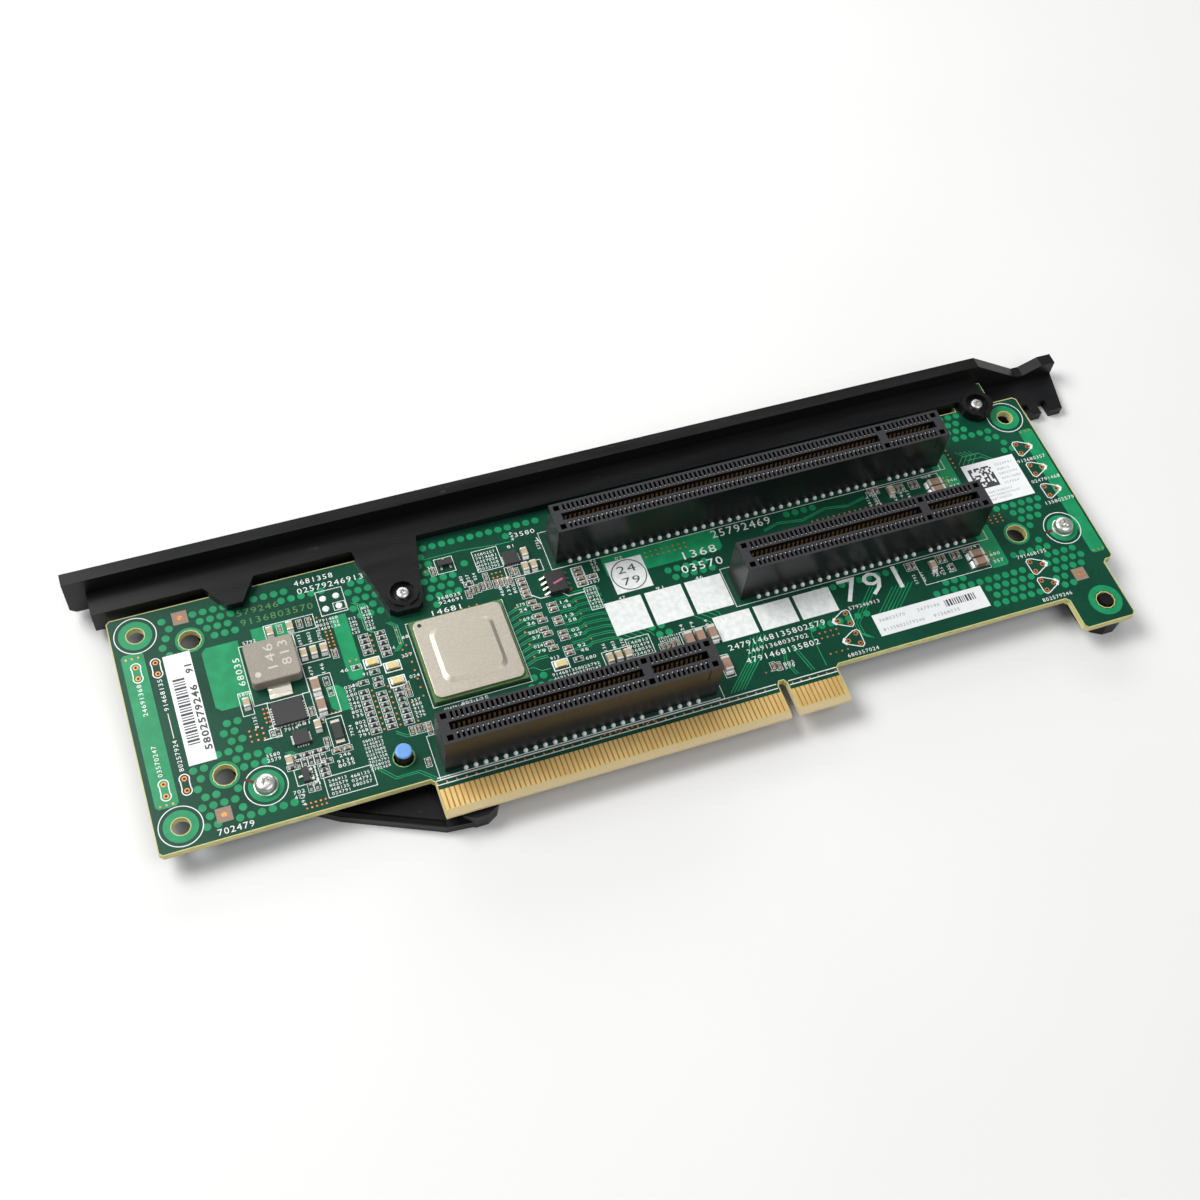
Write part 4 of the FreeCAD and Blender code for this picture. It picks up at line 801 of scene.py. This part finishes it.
socket_width = 7.0
contact_row = 2.02
outer_row = -0.28
inner_row = 1.75
tip_places = []
near_joints = []
under_joints = []
for name, count in contact_counts.items():
    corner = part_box(f"{name}_housing")[0]
    near = corner.y / mm
    far = near + socket_width
    first = corner.x / mm + 3.0
    last = first + count - 1
    contacts = [first + i for i in range(count)]
    contacts += [last + 3 + i for i in range(count_after_key)]
    for x in contacts:
        tip_places += [(x, near + contact_row, 0), (x, far - contact_row, 180)]
    offset = 0 if name == "x16_socket" else 1
    outer = [first + offset + 2 * i for i in range((count + 1 - offset) // 2)]
    outer += [last + 4 + 2 * i for i in range(count_after_key // 2)]
    near_joints += [(x, near + outer_row, 0) for x in outer]
    for x in contacts:
        row = outer_row if x in outer else inner_row
        under_joints += [(x, near + row, 0), (x, far - row, 0)]

# Small tin blocks on the far wall of the slot, one on each contact: painted glints.
glint_places = [(x, y, turn) for x, y, turn in tip_places if turn]
glint_block = block(-0.15, 0.15, 0.36, 0.6, 9.5, 9.95)
repeated("socket_contact_crowns", glint_block, glint_places, tin)
# Tin tips at the end of each contact, in both rows: partly the plated metal, partly painted glints at
# the window ends.
tip = block(-0.18, 0.18, -0.15, 0.15, 10.47, 10.97)
soften(tip, tip.edges[:], 0.06, 1)
repeated("socket_contact_tips", tip, tip_places, tin)

# Thin near-black sheets on the near face of each socket, close to its right end: painted shade standing
# in for the slit there.
shade = Finish("slit_shade", roughness=0.8).speckle((4, 4, 4), (10, 10, 10), 0.3)
slit_shade_sheets = bmesh.new()
for name in contact_counts:
    low, high = corners_of(f"{name}_housing")
    join(slit_shade_sheets, block(high.x - 2.9, high.x - 2.5, low.y - 0.012, low.y, 7.2, 11.2))
as_piece("socket_slits", slit_shade_sheets, shade)

# The joints on the near side get a brighter, non-metallic copy of the solder finish: painted
# highlights, since that side is in shade.
brightened_solder = Finish("solder_bead", roughness=0.3)
brightened_solder.speckle((244, 244, 242), (255, 255, 253), 0.5, 2).grain(0.4, 2, 0.02, 0.5)
repeated("near_solder_joints", dome(0.5, 1.25, 12, 6), near_joints, brightened_solder, True)

under = bmesh.new()
board_thickness = 1.57
cone_height = 0.9
bmesh.ops.create_cone(under, cap_ends=True, segments=10, radius1=0.5 * mm, radius2=0.16 * mm,
                      depth=cone_height * mm)
shift(under, 0, 0, cone_height / 2)
bmesh.ops.rotate(under, cent=(0, 0, 0), matrix=Matrix.Rotation(math.pi, 3, "X"), verts=under.verts)
shift(under, 0, 0, -board_thickness)
repeated("under_solder_joints", under, under_joints, tin, True)

# ----------------------------------------
# The switch chip: a square of green laminate, soldered flat, under a lid of stamped copper
# plated with dull nickel. The lid's middle is pressed up over the die.

laminate = Finish("package_laminate", roughness=0.5)
laminate.speckle((52, 92, 44), (84, 124, 62), 0.8).grain(0.3, 2, 0.006, 0.4)
dress(laminate, "switch_chip_substrate")

nickel = Finish("dull_nickel", metallic=0.8)
brushed = nickel.noise(0.25, 2, (1, 0.35, 1))
tooth = nickel.soft_step(nickel.noise(0.3, 4), 0.35, 0.65)
nickel.colour((184, 176, 161), (199, 191, 176), tooth * 0.7 + nickel.noise(6, 2) * 0.3)
nickel.set(roughness=0.38 + brushed * 0.16)
nickel.grain(0.12, 3, 0.005, 0.5)


def round_corners(shape, radius, segments):
    """Round the upright edges."""
    upright = [e for e in shape.edges if abs(e.verts[0].co.z - e.verts[1].co.z) > 1e-5]
    soften(shape, upright, radius, segments)


def soften_top(shape, width, segments):
    """Round the edges round the top."""
    top = max(vert.co.z for vert in shape.verts)
    rim = [e for e in shape.edges if all(abs(v.co.z - top) < 1e-6 for v in e.verts)
           and any(abs(f.normal.z) < 0.7 for f in e.link_faces)]
    soften(shape, rim, width, segments)


low, high = corners_of("switch_chip_lid")
brim_height = 0.55
lid = block(low.x, high.x, low.y, high.y, low.z, low.z + brim_height)
round_corners(lid, 1.5, 8)
soften_top(lid, 0.12, 3)
crown_inset = 2.5
crown_slope = 0.9
crown = block(low.x + crown_inset, high.x - crown_inset, low.y + crown_inset, high.y - crown_inset,
              low.z + 0.5, high.z)
round_corners(crown, 2.0, 8)
middle = (low + high) / 2 * mm
share = 1 - 2 * crown_slope / (high.x - low.x - 2 * crown_inset)
bmesh.ops.scale(crown, vec=(share, share, 1), space=Matrix.Translation(-middle),
                verts=[vert for vert in crown.verts if vert.co.z > middle.z])
soften_top(crown, 0.14, 3)
join(lid, crown)
lid_piece = as_piece("chip_lid", lid, nickel, True)
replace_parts(lid_piece, "switch_chip_lid")
pin_mark = bmesh.new()
disc(pin_mark, low.x + 1.4, high.y - 1.15, 0.44, low.z + brim_height + 0.015, 20)
dark_paint = Finish("dark_spot", roughness=0.6).speckle((24, 22, 20), (44, 40, 34), 0.2)
as_piece("chip_corner_mark", pin_mark, dark_paint)

# ----------------------------------------
# The choke is a block of pressed iron powder moulded round its winding, with two broad tinned
# leads folded under it and soldered down.

ferrite = Finish("pressed_iron_powder", roughness=0.62)
powder = ferrite.noise(0.16, 3)
grains = ferrite.soft_step(powder, 0.35, 0.7)
ferrite_colour = ferrite.mix(hue(134, 127, 115), hue(162, 154, 140), grains)
ferrite.set(base_color=ferrite.mix(ferrite_colour, hue(104, 97, 86), ferrite.noise(4, 2) * 0.3))
ferrite.bump(powder, 0.02, 0.7)
low, high = corners_of("choke_body")
choke = block(low.x, high.x, low.y, high.y, low.z, high.z)
round_corners(choke, 0.9, 6)
soften_top(choke, 0.28, 3)
choke_piece = as_piece("choke_block", choke, ferrite, True)
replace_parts(choke_piece, "choke_body")
choke_print = bmesh.new()
mark_z = high.z + 0.01
figures(choke_print, low.x + 4.7, low.y + 2.6, 5.6, 1.9, mark_z, 90)
figures(choke_print, low.x + 7.6, low.y + 2.6, 5.6, 1.9, mark_z, 90)
disc(choke_print, low.x + 1.6, low.y + 1.9, 0.6, mark_z, 20)
pale_paint = Finish("pale_paint", roughness=0.6).speckle((176, 172, 162), (198, 194, 184), 0.3)
as_piece("choke_marks", choke_print, pale_paint)

lead = Finish("tinned_strip", metallic=1.0)
lead.speckle((196, 188, 170), (226, 222, 210), 1.2).sheen(0.25, 0.3, 0.8).grain(0.5, 2, 0.02, 0.5)
low, high = corners_of("choke_leads")
body_near = corners_of("choke_body")[0].y
near_lead = block(low.x, high.x, low.y, body_near, 0.0, 0.3)
running_edges = [e for e in near_lead.edges if abs(e.verts[0].co.y - e.verts[1].co.y) > 1e-4]
bmesh.ops.subdivide_edges(near_lead, edges=running_edges, cuts=2)
raised = [v for v in near_lead.verts if v.co.y > (body_near - 1.0) * mm and v.co.z > 0.2 * mm]
shift(near_lead, 0, 0, 0.55, raised)
soften(near_lead, near_lead.edges[:], 0.08, 2)
as_piece("choke_near_lead", near_lead, lead, True)
dress(lead, "choke_leads", "memory_chip_leads", "transistor_leads", "diode_terminals")

# ----------------------------------------
# Chips, transistors and the diode are moulded in black epoxy with a fine dull surface. The flat
# ones have no legs: only the ends of their lead frames show, as small bright pads at the foot.

epoxy = Finish("black_epoxy", roughness=0.55)
dust = epoxy.noise(0.12, 3)
epoxy.colour((30, 30, 31), (50, 50, 51), epoxy.soft_step(dust, 0.4, 0.75))
epoxy.bump(dust, 0.008, 0.6)
for name in ("power_stage_chip", "control_chip", "regulator_chip", "memory_chip_body"):
    low, high = corners_of(name)
    case = block(low.x, high.x, low.y, high.y, low.z, high.z)
    soften_top(case, 0.08, 2)
    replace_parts(as_piece(f"{name}_case", case, epoxy), name)
dress(epoxy, "transistor_cases", "diode_case")

frame_ends = block(-0.14, 0.14, -0.2, 0.2, 0, 0.12)
end_reach = 0.12
frame_places = []
chip_rows = (("control_chip", 5, 0.5), ("regulator_chip", 5, 0.5), ("power_stage_chip", 7, 0.7))
for name, count, pitch in chip_rows:
    low, high = corners_of(name)
    middle = (low + high) / 2
    for index in range(count):
        step = (index - (count - 1) / 2) * pitch
        x = middle.x + step
        y = middle.y + step * 0.8
        frame_places += [(x, low.y - end_reach, 0), (x, high.y + end_reach, 0)]
        frame_places += [(low.x - end_reach, y, 90), (high.x + end_reach, y, 90)]
repeated("chip_frame_ends", frame_ends, frame_places, tin)

low, high = corners_of("memory_chip_body")
dab = bmesh.new()
patch(dab, low.x + 1.1, low.x + 3.4, low.y + 2.0, low.y + 2.45, high.z + 0.012)
dab_middle = ((low.x + 2.2) * mm, (low.y + 2.2) * mm, 0)
bmesh.ops.rotate(dab, cent=dab_middle, matrix=Matrix.Rotation(0.3, 3, "Z"), verts=dab.verts)
pink = Finish("pink_ink", roughness=0.5).speckle((206, 96, 140), (150, 70, 104), 0.3)
as_piece("memory_chip_dab", dab, pink)

# ----------------------------------------
# Ceramic capacitors and film resistors: a fired block between two dipped ends, held by a fillet
# of solder at each. The large capacitors are brown, the medium ones paler, and the resistors
# have a black glaze.

ceramic = Finish("fired_ceramic", roughness=0.4)
ceramic.speckle((134, 108, 92), (160, 132, 112), 0.6, 2).grain(0.3, 2, 0.006, 0.4)
tan = Finish("tan_ceramic", roughness=0.4)
tan.speckle((164, 146, 117), (186, 168, 137), 0.5, 2).grain(0.3, 2, 0.006, 0.4)
end_plating = Finish("capacitor_end_plating", metallic=0.3)
end_plating.speckle((196, 192, 183), (226, 223, 215), 0.5, 2).sheen(0.24, 0.2, 0.4)
end_plating.grain(0.4, 2, 0.02, 0.5)
dress(ceramic, "large_capacitor_blocks")
dress(tan, "medium_capacitor_blocks")
dress(end_plating, "large_capacitor_ends", "medium_capacitor_ends")


def turned(turn, *spots):
    """Places that share one turn in degrees."""
    return [(x, y, turn) for x, y in spots]


def in_column(turn, x, *heights):
    """Places above one another on the board."""
    return [(x, y, turn) for y in heights]


def in_row(turn, y, *offsets):
    """Places beside one another."""
    return [(x, y, turn) for x in offsets]


medium_height = 1.1
medium_end = 0.4
half_length = 1.0
half_width = 0.625
end_rise = 0.02
medium_spots = [
    (-93.9, 43), (-89.9, 43.1), (-90.1, 20), (-97.1, 14.2), (-39.7, 46.4), (-40.6, 42.9), (-38.8, 42.9),
    (-31.2, 17.2), (-29.3, 17.2), (-27.4, 17.2), (41.6, 38.6), (41.9, 18.2), (-101.9, 28.7),
]
medium_places = turned(0, *medium_spots)
middle_start = medium_end - half_length
middle_block = block(-half_width, half_width, middle_start, -middle_start, 0, medium_height)
repeated("medium_capacitors", middle_block, medium_places, tan)
end_pair = bmesh.new()
cap_half = half_width + end_rise
for start in (-half_length, half_length - medium_end):
    cap = block(-cap_half, cap_half, start, start + medium_end, 0, medium_height + end_rise)
    soften(cap, cap.edges[:], 0.08, 2)
    join(end_pair, cap)
repeated("medium_capacitor_caps", end_pair, medium_places, end_plating, True)

# Each end of a large or medium capacitor sits in a sloping fillet of solder on its pad.
wide_fillet = block(-0.8, 0.8, 0.0, 0.55, 0.0, 0.75)
narrow_fillet = block(-0.62, 0.62, 0.0, 0.45, 0.0, 0.6)
for fillet in (wide_fillet, narrow_fillet):
    outer = [v for v in fillet.verts if v.co.y > 0.1 * mm and v.co.z > 0.1 * mm]
    shift(fillet, 0, 0, -0.55, outer)
    soften(fillet, [e for e in fillet.edges if e.calc_length() > 1.0 * mm], 0.06, 2)
large_reach = 1.6
wide_places = []
for x, y in ((-88.4, 28.4), (-88.4, 23.8), (-14.4, 16.4), (-12, 16.4), (-9.4, 16.4), (-9.3, 8.8)):
    wide_places += [(x, y + large_reach, 0), (x, y - large_reach, 180)]
for x, y in ((51.7, 37.6), (51.7, 35.6), (52, 18), (52, 15.9)):
    wide_places += [(x + large_reach, y, -90), (x - large_reach, y, 90)]
repeated("large_solder_fillets", wide_fillet, wide_places, tin, True)
narrow_places = []
for x, y in medium_spots + [(-88.8, 36.2), (-86.8, 36.2), (-84.8, 36.2)]:
    narrow_places += [(x, y + half_length, 0), (x, y - half_length, 180)]
repeated("medium_solder_fillets", narrow_fillet, narrow_places, tin, True)

small_capacitors = [
    *in_column(0, -38.2, 32.9, 31.7, 29.4, 28.4, 26, 24.7),
    *in_column(0, -41.2, 29.9, 26.6, 23.1),
    *in_column(0, -30.5, 39.5, 38.4, 37.1, 35.9),
    *in_column(0, -42.4, 40.4, 39.4, 38.3, 37.3, 36.4),
    *in_row(90, 41, -51.4, -47.5, -46.5, -45.5, -44.5),
    *in_row(90, 16.6, -20.1, -19, -17.9, -16.8),
    *in_row(90, 13.6, -73.2, -71.9, -70.8, -69.8),
    *in_row(90, 19.4, 44, 45.1, 47.4, 48.5),
    *in_row(90, 38.9, 43.5, 44.6, 46.9, 48),
    *in_row(90, 43.4, -91.9, -87.9, -86.1),
    *turned(0, (-42, 34.6), (-41.4, 33.3), (-41.8, 31.2), (-41.7, 27.8), (-41.7, 24.4), (-38.4, 22.2),
            (-38.4, 21), (-28, 37), (-88, 13.8), (-86, 13.7), (51, 20)),
    *turned(90, (-53.6, 40.2), (-52.5, 40.9), (-50.3, 41.2), (-49, 43.2), (-49, 41.2), (-43.6, 43),
            (-42.6, 42.6), (-0.2, 5.9), (0.9, 5.6), (-89.3, 16.2), (-59, 47.6), (-71.4, 21.9),
            (-71.4, 23.4), (-69.9, 12.9), (-72.2, 6.2), (-82.9, 34.6), (36.7, 19.6), (38, 19.6),
            (37.4, 40), (38.8, 40), (-90.5, 23.5)),
]
small_resistors = [
    *in_column(0, -79.8, 24.5, 23.2, 21.9, 20.7, 19.4, 18.1, 16.9, 15.6),
    *in_column(0, -76.6, 36.8, 35.5, 34.3, 33, 28.4, 25.3, 23.2, 21.9, 20.7, 19.4, 18.1, 16.9, 15.7),
    *in_column(0, -73.2, 36.6, 35.4, 34.2, 32.9, 31.6, 23.2, 21.9, 20.8, 19.4, 18.1, 16.9, 15.7),
    *in_column(0, -91.3, 11.6, 10.5, 9.5),
    *in_row(0, 14.8, -95.3, -93.6, -91.9, -90.3),
    *in_row(90, 13.2, -95.6, -94.4, -93.2, -92, -90.8),
    *turned(0, (-79.7, 30.4), (-79.3, 26.6), (-76.4, 26.6), (-37.2, 19.2), (-90.2, 12.2), (-89.4, 21),
            (-96.9, 12.8), (-52.9, 42.6)),
    *turned(90, (-94.6, 7.8), (-93.4, 7.8), (-97.6, 20.9), (45.9, 16.8), (-86.1, 29.1), (-85.9, 26.6)),
]

solder_pad = Finish("small_solder_pad", metallic=0.8)
solder_pad.speckle((176, 176, 174), (214, 214, 210), 0.4, 2).sheen(0.3, 0.2, 0.3)
pad = bmesh.new()
for side in (-1, 1):
    for inner, outer, half, top in ((0.34, 0.78, 0.3, 0.12), (0.31, 0.51, 0.27, 0.42)):
        left, right = sorted((side * inner, side * outer))
        end = block(left, right, -half, half, 0.0, top)
        soften(end, end.edges[:], 0.04, 1)
        join(pad, end)
repeated("small_part_ends", pad, small_capacitors + small_resistors, solder_pad)
small_ceramic = Finish("small_ceramic", roughness=0.5).speckle((128, 98, 70), (156, 124, 92), 0.4, 2)
tiny = block(-0.32, 0.32, -0.25, 0.25, 0.05, 0.4)
repeated("small_capacitors", tiny, small_capacitors, small_ceramic)
resistor_top = Finish("resistor_glaze", roughness=0.35).speckle((38, 36, 36), (60, 58, 56), 0.3)
flat_block = block(-0.32, 0.32, -0.25, 0.25, 0.05, 0.33)
repeated("small_resistors", flat_block, small_resistors, resistor_top)
small_boxes = []
for x, y, turn in small_capacitors + small_resistors:
    wide, deep = (0.55, 1.0) if turn else (1.0, 0.55)
    small_boxes.append(box_line(x - wide, x + wide, y - deep, y + deep))
ink_lines("small_part_outlines", small_boxes, 0.12)

# The four holes of the spare header are filled with solder.
header_places = turned(0, (-82, 47.8), (-79.3, 47.8), (-82, 45.3), (-79.3, 45.3))
repeated("header_solder", dome(0.72, 0.35, 20, 10), header_places, tin, True)

# ----------------------------------------
# The indicator lamps are small blocks of clear yellow resin, cast between two tinned ends that
# are soldered to the board.

resin = Finish("lamp_resin", roughness=0.25, coat_weight=0.5)
resin.speckle((190, 168, 104), (230, 216, 160), 0.4, 2).grain(0.3, 2, 0.01, 0.4)
dress(resin, "indicator_lamps")
lamp_ends = bmesh.new()
for side in (-1, 1):
    middle_x = side * 1.02
    end = block(middle_x - 0.3, middle_x + 0.3, -0.68, 0.68, 0.0, 0.5)
    soften(end, end.edges[:], 0.1, 2)
    join(lamp_ends, end)
lamp_places = turned(0, (-76.5, 30.5), (-72.9, 28.5), (-72.9, 25), (-41, 19))
repeated("lamp_ends", lamp_ends, lamp_places, tin, True)

# ----------------------------------------
# The carrier is injection moulded in black nylon: slightly glossy, with faint flow marks along
# its length and pale scuffs in scattered patches.

nylon = Finish("black_nylon", specular_ior_level=0.27)
flow = nylon.noise(3.0, 4, (0.12, 1, 1))
pore = nylon.noise(0.18, 3)
scuff = nylon.soft_step(nylon.noise(1.1, 6, (0.5, 1, 1)), 0.66, 0.8)
nylon_colour = nylon.mix(hue(9, 9, 10), hue(19, 19, 20), nylon.soft_step(flow, 0.3, 0.75))
nylon.set(base_color=nylon.mix(nylon_colour, hue(58, 58, 58), scuff * 0.5))
nylon.set(roughness=0.28 + flow * 0.16 + scuff * 0.2)
nylon.bump(pore * 0.5 + flow * 0.5, 0.02, 0.6)
dress(nylon, "carrier_rail", "carrier_base")
arm_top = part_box("carrier_rail")[0].z / mm
lips = [([(-106.6, 40.0), (-106.6, 6.2), (-94.4, 5.1), (-90.2, 2.7), (-72.4, -5.2)], False),
        ([(-97.0, 40.0), (-97.0, 13.0)], False)]
line_work("arm_lips", lips, 1.3, 1.2, arm_top, nylon)

# ----------------------------------------
# The screws are zinc-plated steel. Each pan head is turned with a rounded crown and a six-lobed
# recess; a red-brown streak of locking paint runs from each large head across the board.

zinc = Finish("zinc_plate", metallic=1.0)
zinc.colour((226, 224, 220), (190, 187, 180), zinc.soft_step(zinc.noise(1.0, 3), 0.4, 0.75))
zinc.sheen(0.22, 0.25, 0.6, 3).grain(0.3, 2, 0.01, 0.5)


def pan_head(profile, recess_radius, recess_depth):
    """Raise a head ring by ring, each given as radius and height, and sink a six-lobed recess."""
    head = bmesh.new()
    radius, height = profile[0]
    bmesh.ops.create_circle(head, segments=36, radius=radius * mm)
    shift(head, 0, 0, height)
    rim = head.edges[:]
    for next_radius, next_height in profile[1:]:
        made = bmesh.ops.extrude_edge_only(head, edges=rim)["geom"]
        lifted = {item for item in made if isinstance(item, bmesh.types.BMVert)}
        edges = [item for item in made if isinstance(item, bmesh.types.BMEdge)]
        rim = [edge for edge in edges if lifted.issuperset(edge.verts)]
        bmesh.ops.scale(head, vec=(next_radius / radius, next_radius / radius, 1), verts=list(lifted))
        shift(head, 0, 0, next_height - height, list(lifted))
        radius, height = next_radius, next_height
    crown = bmesh.ops.contextual_create(head, geom=rim)["faces"]
    bmesh.ops.recalc_face_normals(head, faces=head.faces)
    bmesh.ops.inset_region(head, faces=crown, thickness=(radius - recess_radius) * mm)
    mouth = {vert for face in crown for vert in face.verts}
    for step, share in enumerate((1.0, 0.92, 0.76, 0.68, 0.76, 0.92)):
        tenth = [v for v in mouth if round(math.degrees(math.atan2(v.co.y, v.co.x)) / 10) % 6 == step]
        bmesh.ops.scale(head, vec=(share, share, 1), verts=tenth)
    walls = bmesh.ops.extrude_face_region(head, geom=crown)
    sunk = [item for item in walls["geom"] if isinstance(item, bmesh.types.BMVert)]
    bmesh.ops.delete(head, geom=crown, context="FACES_ONLY")
    shift(head, 0, 0, -recess_depth, sunk)
    bmesh.ops.scale(head, vec=(0.9, 0.9, 1), verts=sunk)
    bmesh.ops.recalc_face_normals(head, faces=head.faces)
    return head


large_profile = [
    (1.4, -1.2), (1.4, 0), (2.3, 0), (2.3, 0.28), (2.12, 0.36), (2.08, 1), (1.96, 1.4),
    (1.66, 1.7), (1.2, 1.86), (0.95, 1.9),
]
screw_seats = turned(0, *screw_places)
large_head = pan_head(large_profile, 0.92, 0.8)
large_screws = repeated("large_screw_heads", large_head, screw_seats, zinc, True)
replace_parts(large_screws, "board_screws")
small_profile = [
    (0.9, 1), (0.9, 1.31), (1.42, 1.31), (1.42, 1.8), (1.34, 2.1), (1.1, 2.3), (0.8, 2.39), (0.62, 2.4),
]
small_seats = [(-66.6, 43.3, 15), (70.3, 54.2, 40)]
small_head = pan_head(small_profile, 0.58, 0.5)
small_screws = repeated("small_screw_heads", small_head, small_seats, zinc, True)
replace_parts(small_screws, "rail_screws")

paint = Finish("locking_paint", roughness=0.3, coat_weight=0.4)
paint.speckle((58, 20, 18), (96, 38, 32), 0.5).grain(0.5, 3, 0.03, 0.6)
streaks = bmesh.new()
for (x, y), turn in zip(screw_places, (2.55, 3.14)):
    made = patch(streaks, x - 0.1, x + 4.2, y - 0.32, y + 0.32, 0.06)
    about = Matrix.Rotation(turn, 3, "Z")
    bmesh.ops.rotate(streaks, cent=(x * mm, y * mm, 0), matrix=about, verts=made["verts"])
bmesh.ops.subdivide_edges(streaks, edges=streaks.edges[:], cuts=3, use_grid_fill=True)
as_piece("locking_paint_streaks", streaks, paint)

# ----------------------------------------
# The end of the carrier's guide pin, which comes up through a hole in the board, is dipped in
# blue paint that has pulled into a slightly domed cap.

blue = Finish("blue_dip", roughness=0.4, coat_weight=0.2)
blue.speckle((86, 138, 204), (112, 160, 218), 0.8).grain(0.4, 2, 0.01, 0.5)
low, high = corners_of("guide_pin_cap")
radius = (high.x - low.x) / 2
cap = bmesh.new()
bmesh.ops.create_cone(cap, cap_ends=True, segments=40, radius1=radius * mm, radius2=radius * mm,
                      depth=(high.z - low.z) * mm)
bmesh.ops.translate(cap, vec=(low + high) / 2 * mm, verts=cap.verts)
soften_top(cap, 0.3, 4)
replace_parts(as_piece("dipped_cap", cap, blue, True), "guide_pin_cap")

# ----------------------------------------
# Three paper labels, stuck on by their own glue and printed in black and grey. Their print is
# only plain figures, bars and a block of squares.

paper = Finish("label_paper", roughness=0.5)
paper.speckle((218, 220, 220), (232, 233, 231), 2.5, 4).grain(0.2, 3, 0.006, 0.4)
dress(paper, "left_label", "square_label", "near_label")

black_print = Finish("black_print", roughness=0.5).speckle((40, 40, 42), (70, 70, 72), 0.2)
printed = bmesh.new()
print_z = 0.115
low, high = corners_of("left_label")
bar_widths = (0.24, 0.5, 0.3, 0.4)
y = low.y + 4.3
for index in range(23):
    thick = bar_widths[(index * 5 + index // 3) % 4]
    patch(printed, low.x + 0.8, low.x + 3.1, y, y + thick, print_z)
    y += thick + 0.31
figures(printed, low.x + 4.35, low.y + 2.4, 14.6, 1.5, print_z, 90, 0.03)
figures(printed, low.x + 4.35, high.y - 5.0, 2.0, 1.5, print_z, 90, 0.03)
low, high = corners_of("near_label")
bar_widths = (0.16, 0.3, 0.22, 0.42)
x = low.x + 16.2
for index in range(13):
    thick = bar_widths[(index * 7 + index // 2) % 4]
    patch(printed, x, x + thick, high.y - 2.7, high.y - 1.1, print_z)
    x += thick + 0.28
low, high = corners_of("square_label")
cells = 12
cell = 0.46
for column in range(cells):
    for row in range(cells):
        if column == 0 or row == 0 or math.sin(column * 12.9898 + row * 78.233) * 43758.5 % 1 > 0.5:
            x = low.x + 1.0 + column * cell
            y = high.y - 6.9 + row * cell
            patch(printed, x, x + cell, y, y + cell, print_z)
as_piece("label_print", printed, black_print)

grey_print = Finish("grey_print", roughness=0.5).speckle((132, 134, 136), (168, 169, 170), 0.2)
faint = bmesh.new()
low, high = corners_of("near_label")
for start, length, y in ((1.0, 6.0, 3.6), (9.8, 5.2, 3.6), (1.0, 9.4, 1.3), (12.6, 6.0, 1.3)):
    figures(faint, low.x + start, low.y + y, length, 0.75, print_z)
low, high = corners_of("square_label")
for row, length in enumerate((4.2, 3.0, 4.6, 4.6, 3.6)):
    figures(faint, low.x + 7.6, high.y - 1.7 - row * 1.25, length, 0.6, print_z)
for row, length in enumerate((7.5, 9.0, 6.4)):
    figures(faint, low.x + 1.2, low.y + 3.0 - row * 0.95, length, 0.55, print_z)
as_piece("faint_print", faint, grey_print)

# ----------------------------------------
# The studio: a pale floor under the card, a soft pale surround, three broad lamps, and a camera
# that looks down at the card from its near left.

floor_z = cad_box[0].z
floor_shape = bmesh.new()
floor_spot = Matrix.Translation((0, 0, floor_z))
bmesh.ops.create_grid(floor_shape, x_segments=1, y_segments=1, size=3.0, matrix=floor_spot)
floor_mesh = bpy.data.meshes.new("floor")
floor_shape.to_mesh(floor_mesh)
floor_shape.free()
floor = bpy.data.objects.new("floor", floor_mesh)
bpy.context.scene.collection.objects.link(floor)
pale = Finish("pale_floor", roughness=0.9).speckle((222, 221, 219), (226, 225, 223), 60, 2)
floor_mesh.materials.append(pale.material)

world = bpy.data.worlds.new("surround")
bpy.context.scene.world = world
world.use_nodes = True
world.node_tree.nodes["Background"].inputs["Color"].default_value = (0.82, 0.85, 0.9, 1)
world.node_tree.nodes["Background"].inputs["Strength"].default_value = 0.35


def lamp(name, place, aim, size, power):
    light = bpy.data.lights.new(name, "AREA")
    light.shape = "RECTANGLE"
    light.size, light.size_y = size
    light.energy = power
    holder = bpy.data.objects.new(name, light)
    holder.location = place
    holder.rotation_euler = (Vector(aim) - Vector(place)).to_track_quat("-Z", "Y").to_euler()
    bpy.context.scene.collection.objects.link(holder)


middle = (-0.015, 0.028, 0.0)
lamp("key_lamp", (-0.45, 0.35, 0.62), middle, (0.5, 0.4), 7.0)
lamp("fill_lamp", (0.2, -0.35, 0.72), middle, (0.6, 0.5), 2.1)
lamp("back_lamp", (0.15, 0.8, 0.35), middle, (0.8, 0.3), 2.6)

lens_mm = 48.01
camera_place = Vector((-107.18, -127.02, 276.1)) * mm
camera_right = Vector((0.93849, -0.33711, 0.0748))
camera_up = Vector((0.24789, 0.80852, 0.53371))
camera_back = Vector((-0.2404, -0.48233, 0.84235))
camera = bpy.data.objects.new("camera", bpy.data.cameras.new("camera"))
camera.data.lens = lens_mm
camera.data.sensor_width = 36.0
camera.data.clip_start = 0.01
camera.data.clip_end = 10.0
camera_turn = Matrix((camera_right, camera_up, camera_back)).transposed()
camera.matrix_world = Matrix.Translation(camera_place) @ camera_turn.to_4x4()
bpy.context.scene.collection.objects.link(camera)
bpy.context.scene.camera = camera
bpy.context.scene.view_settings.view_transform = "Standard"
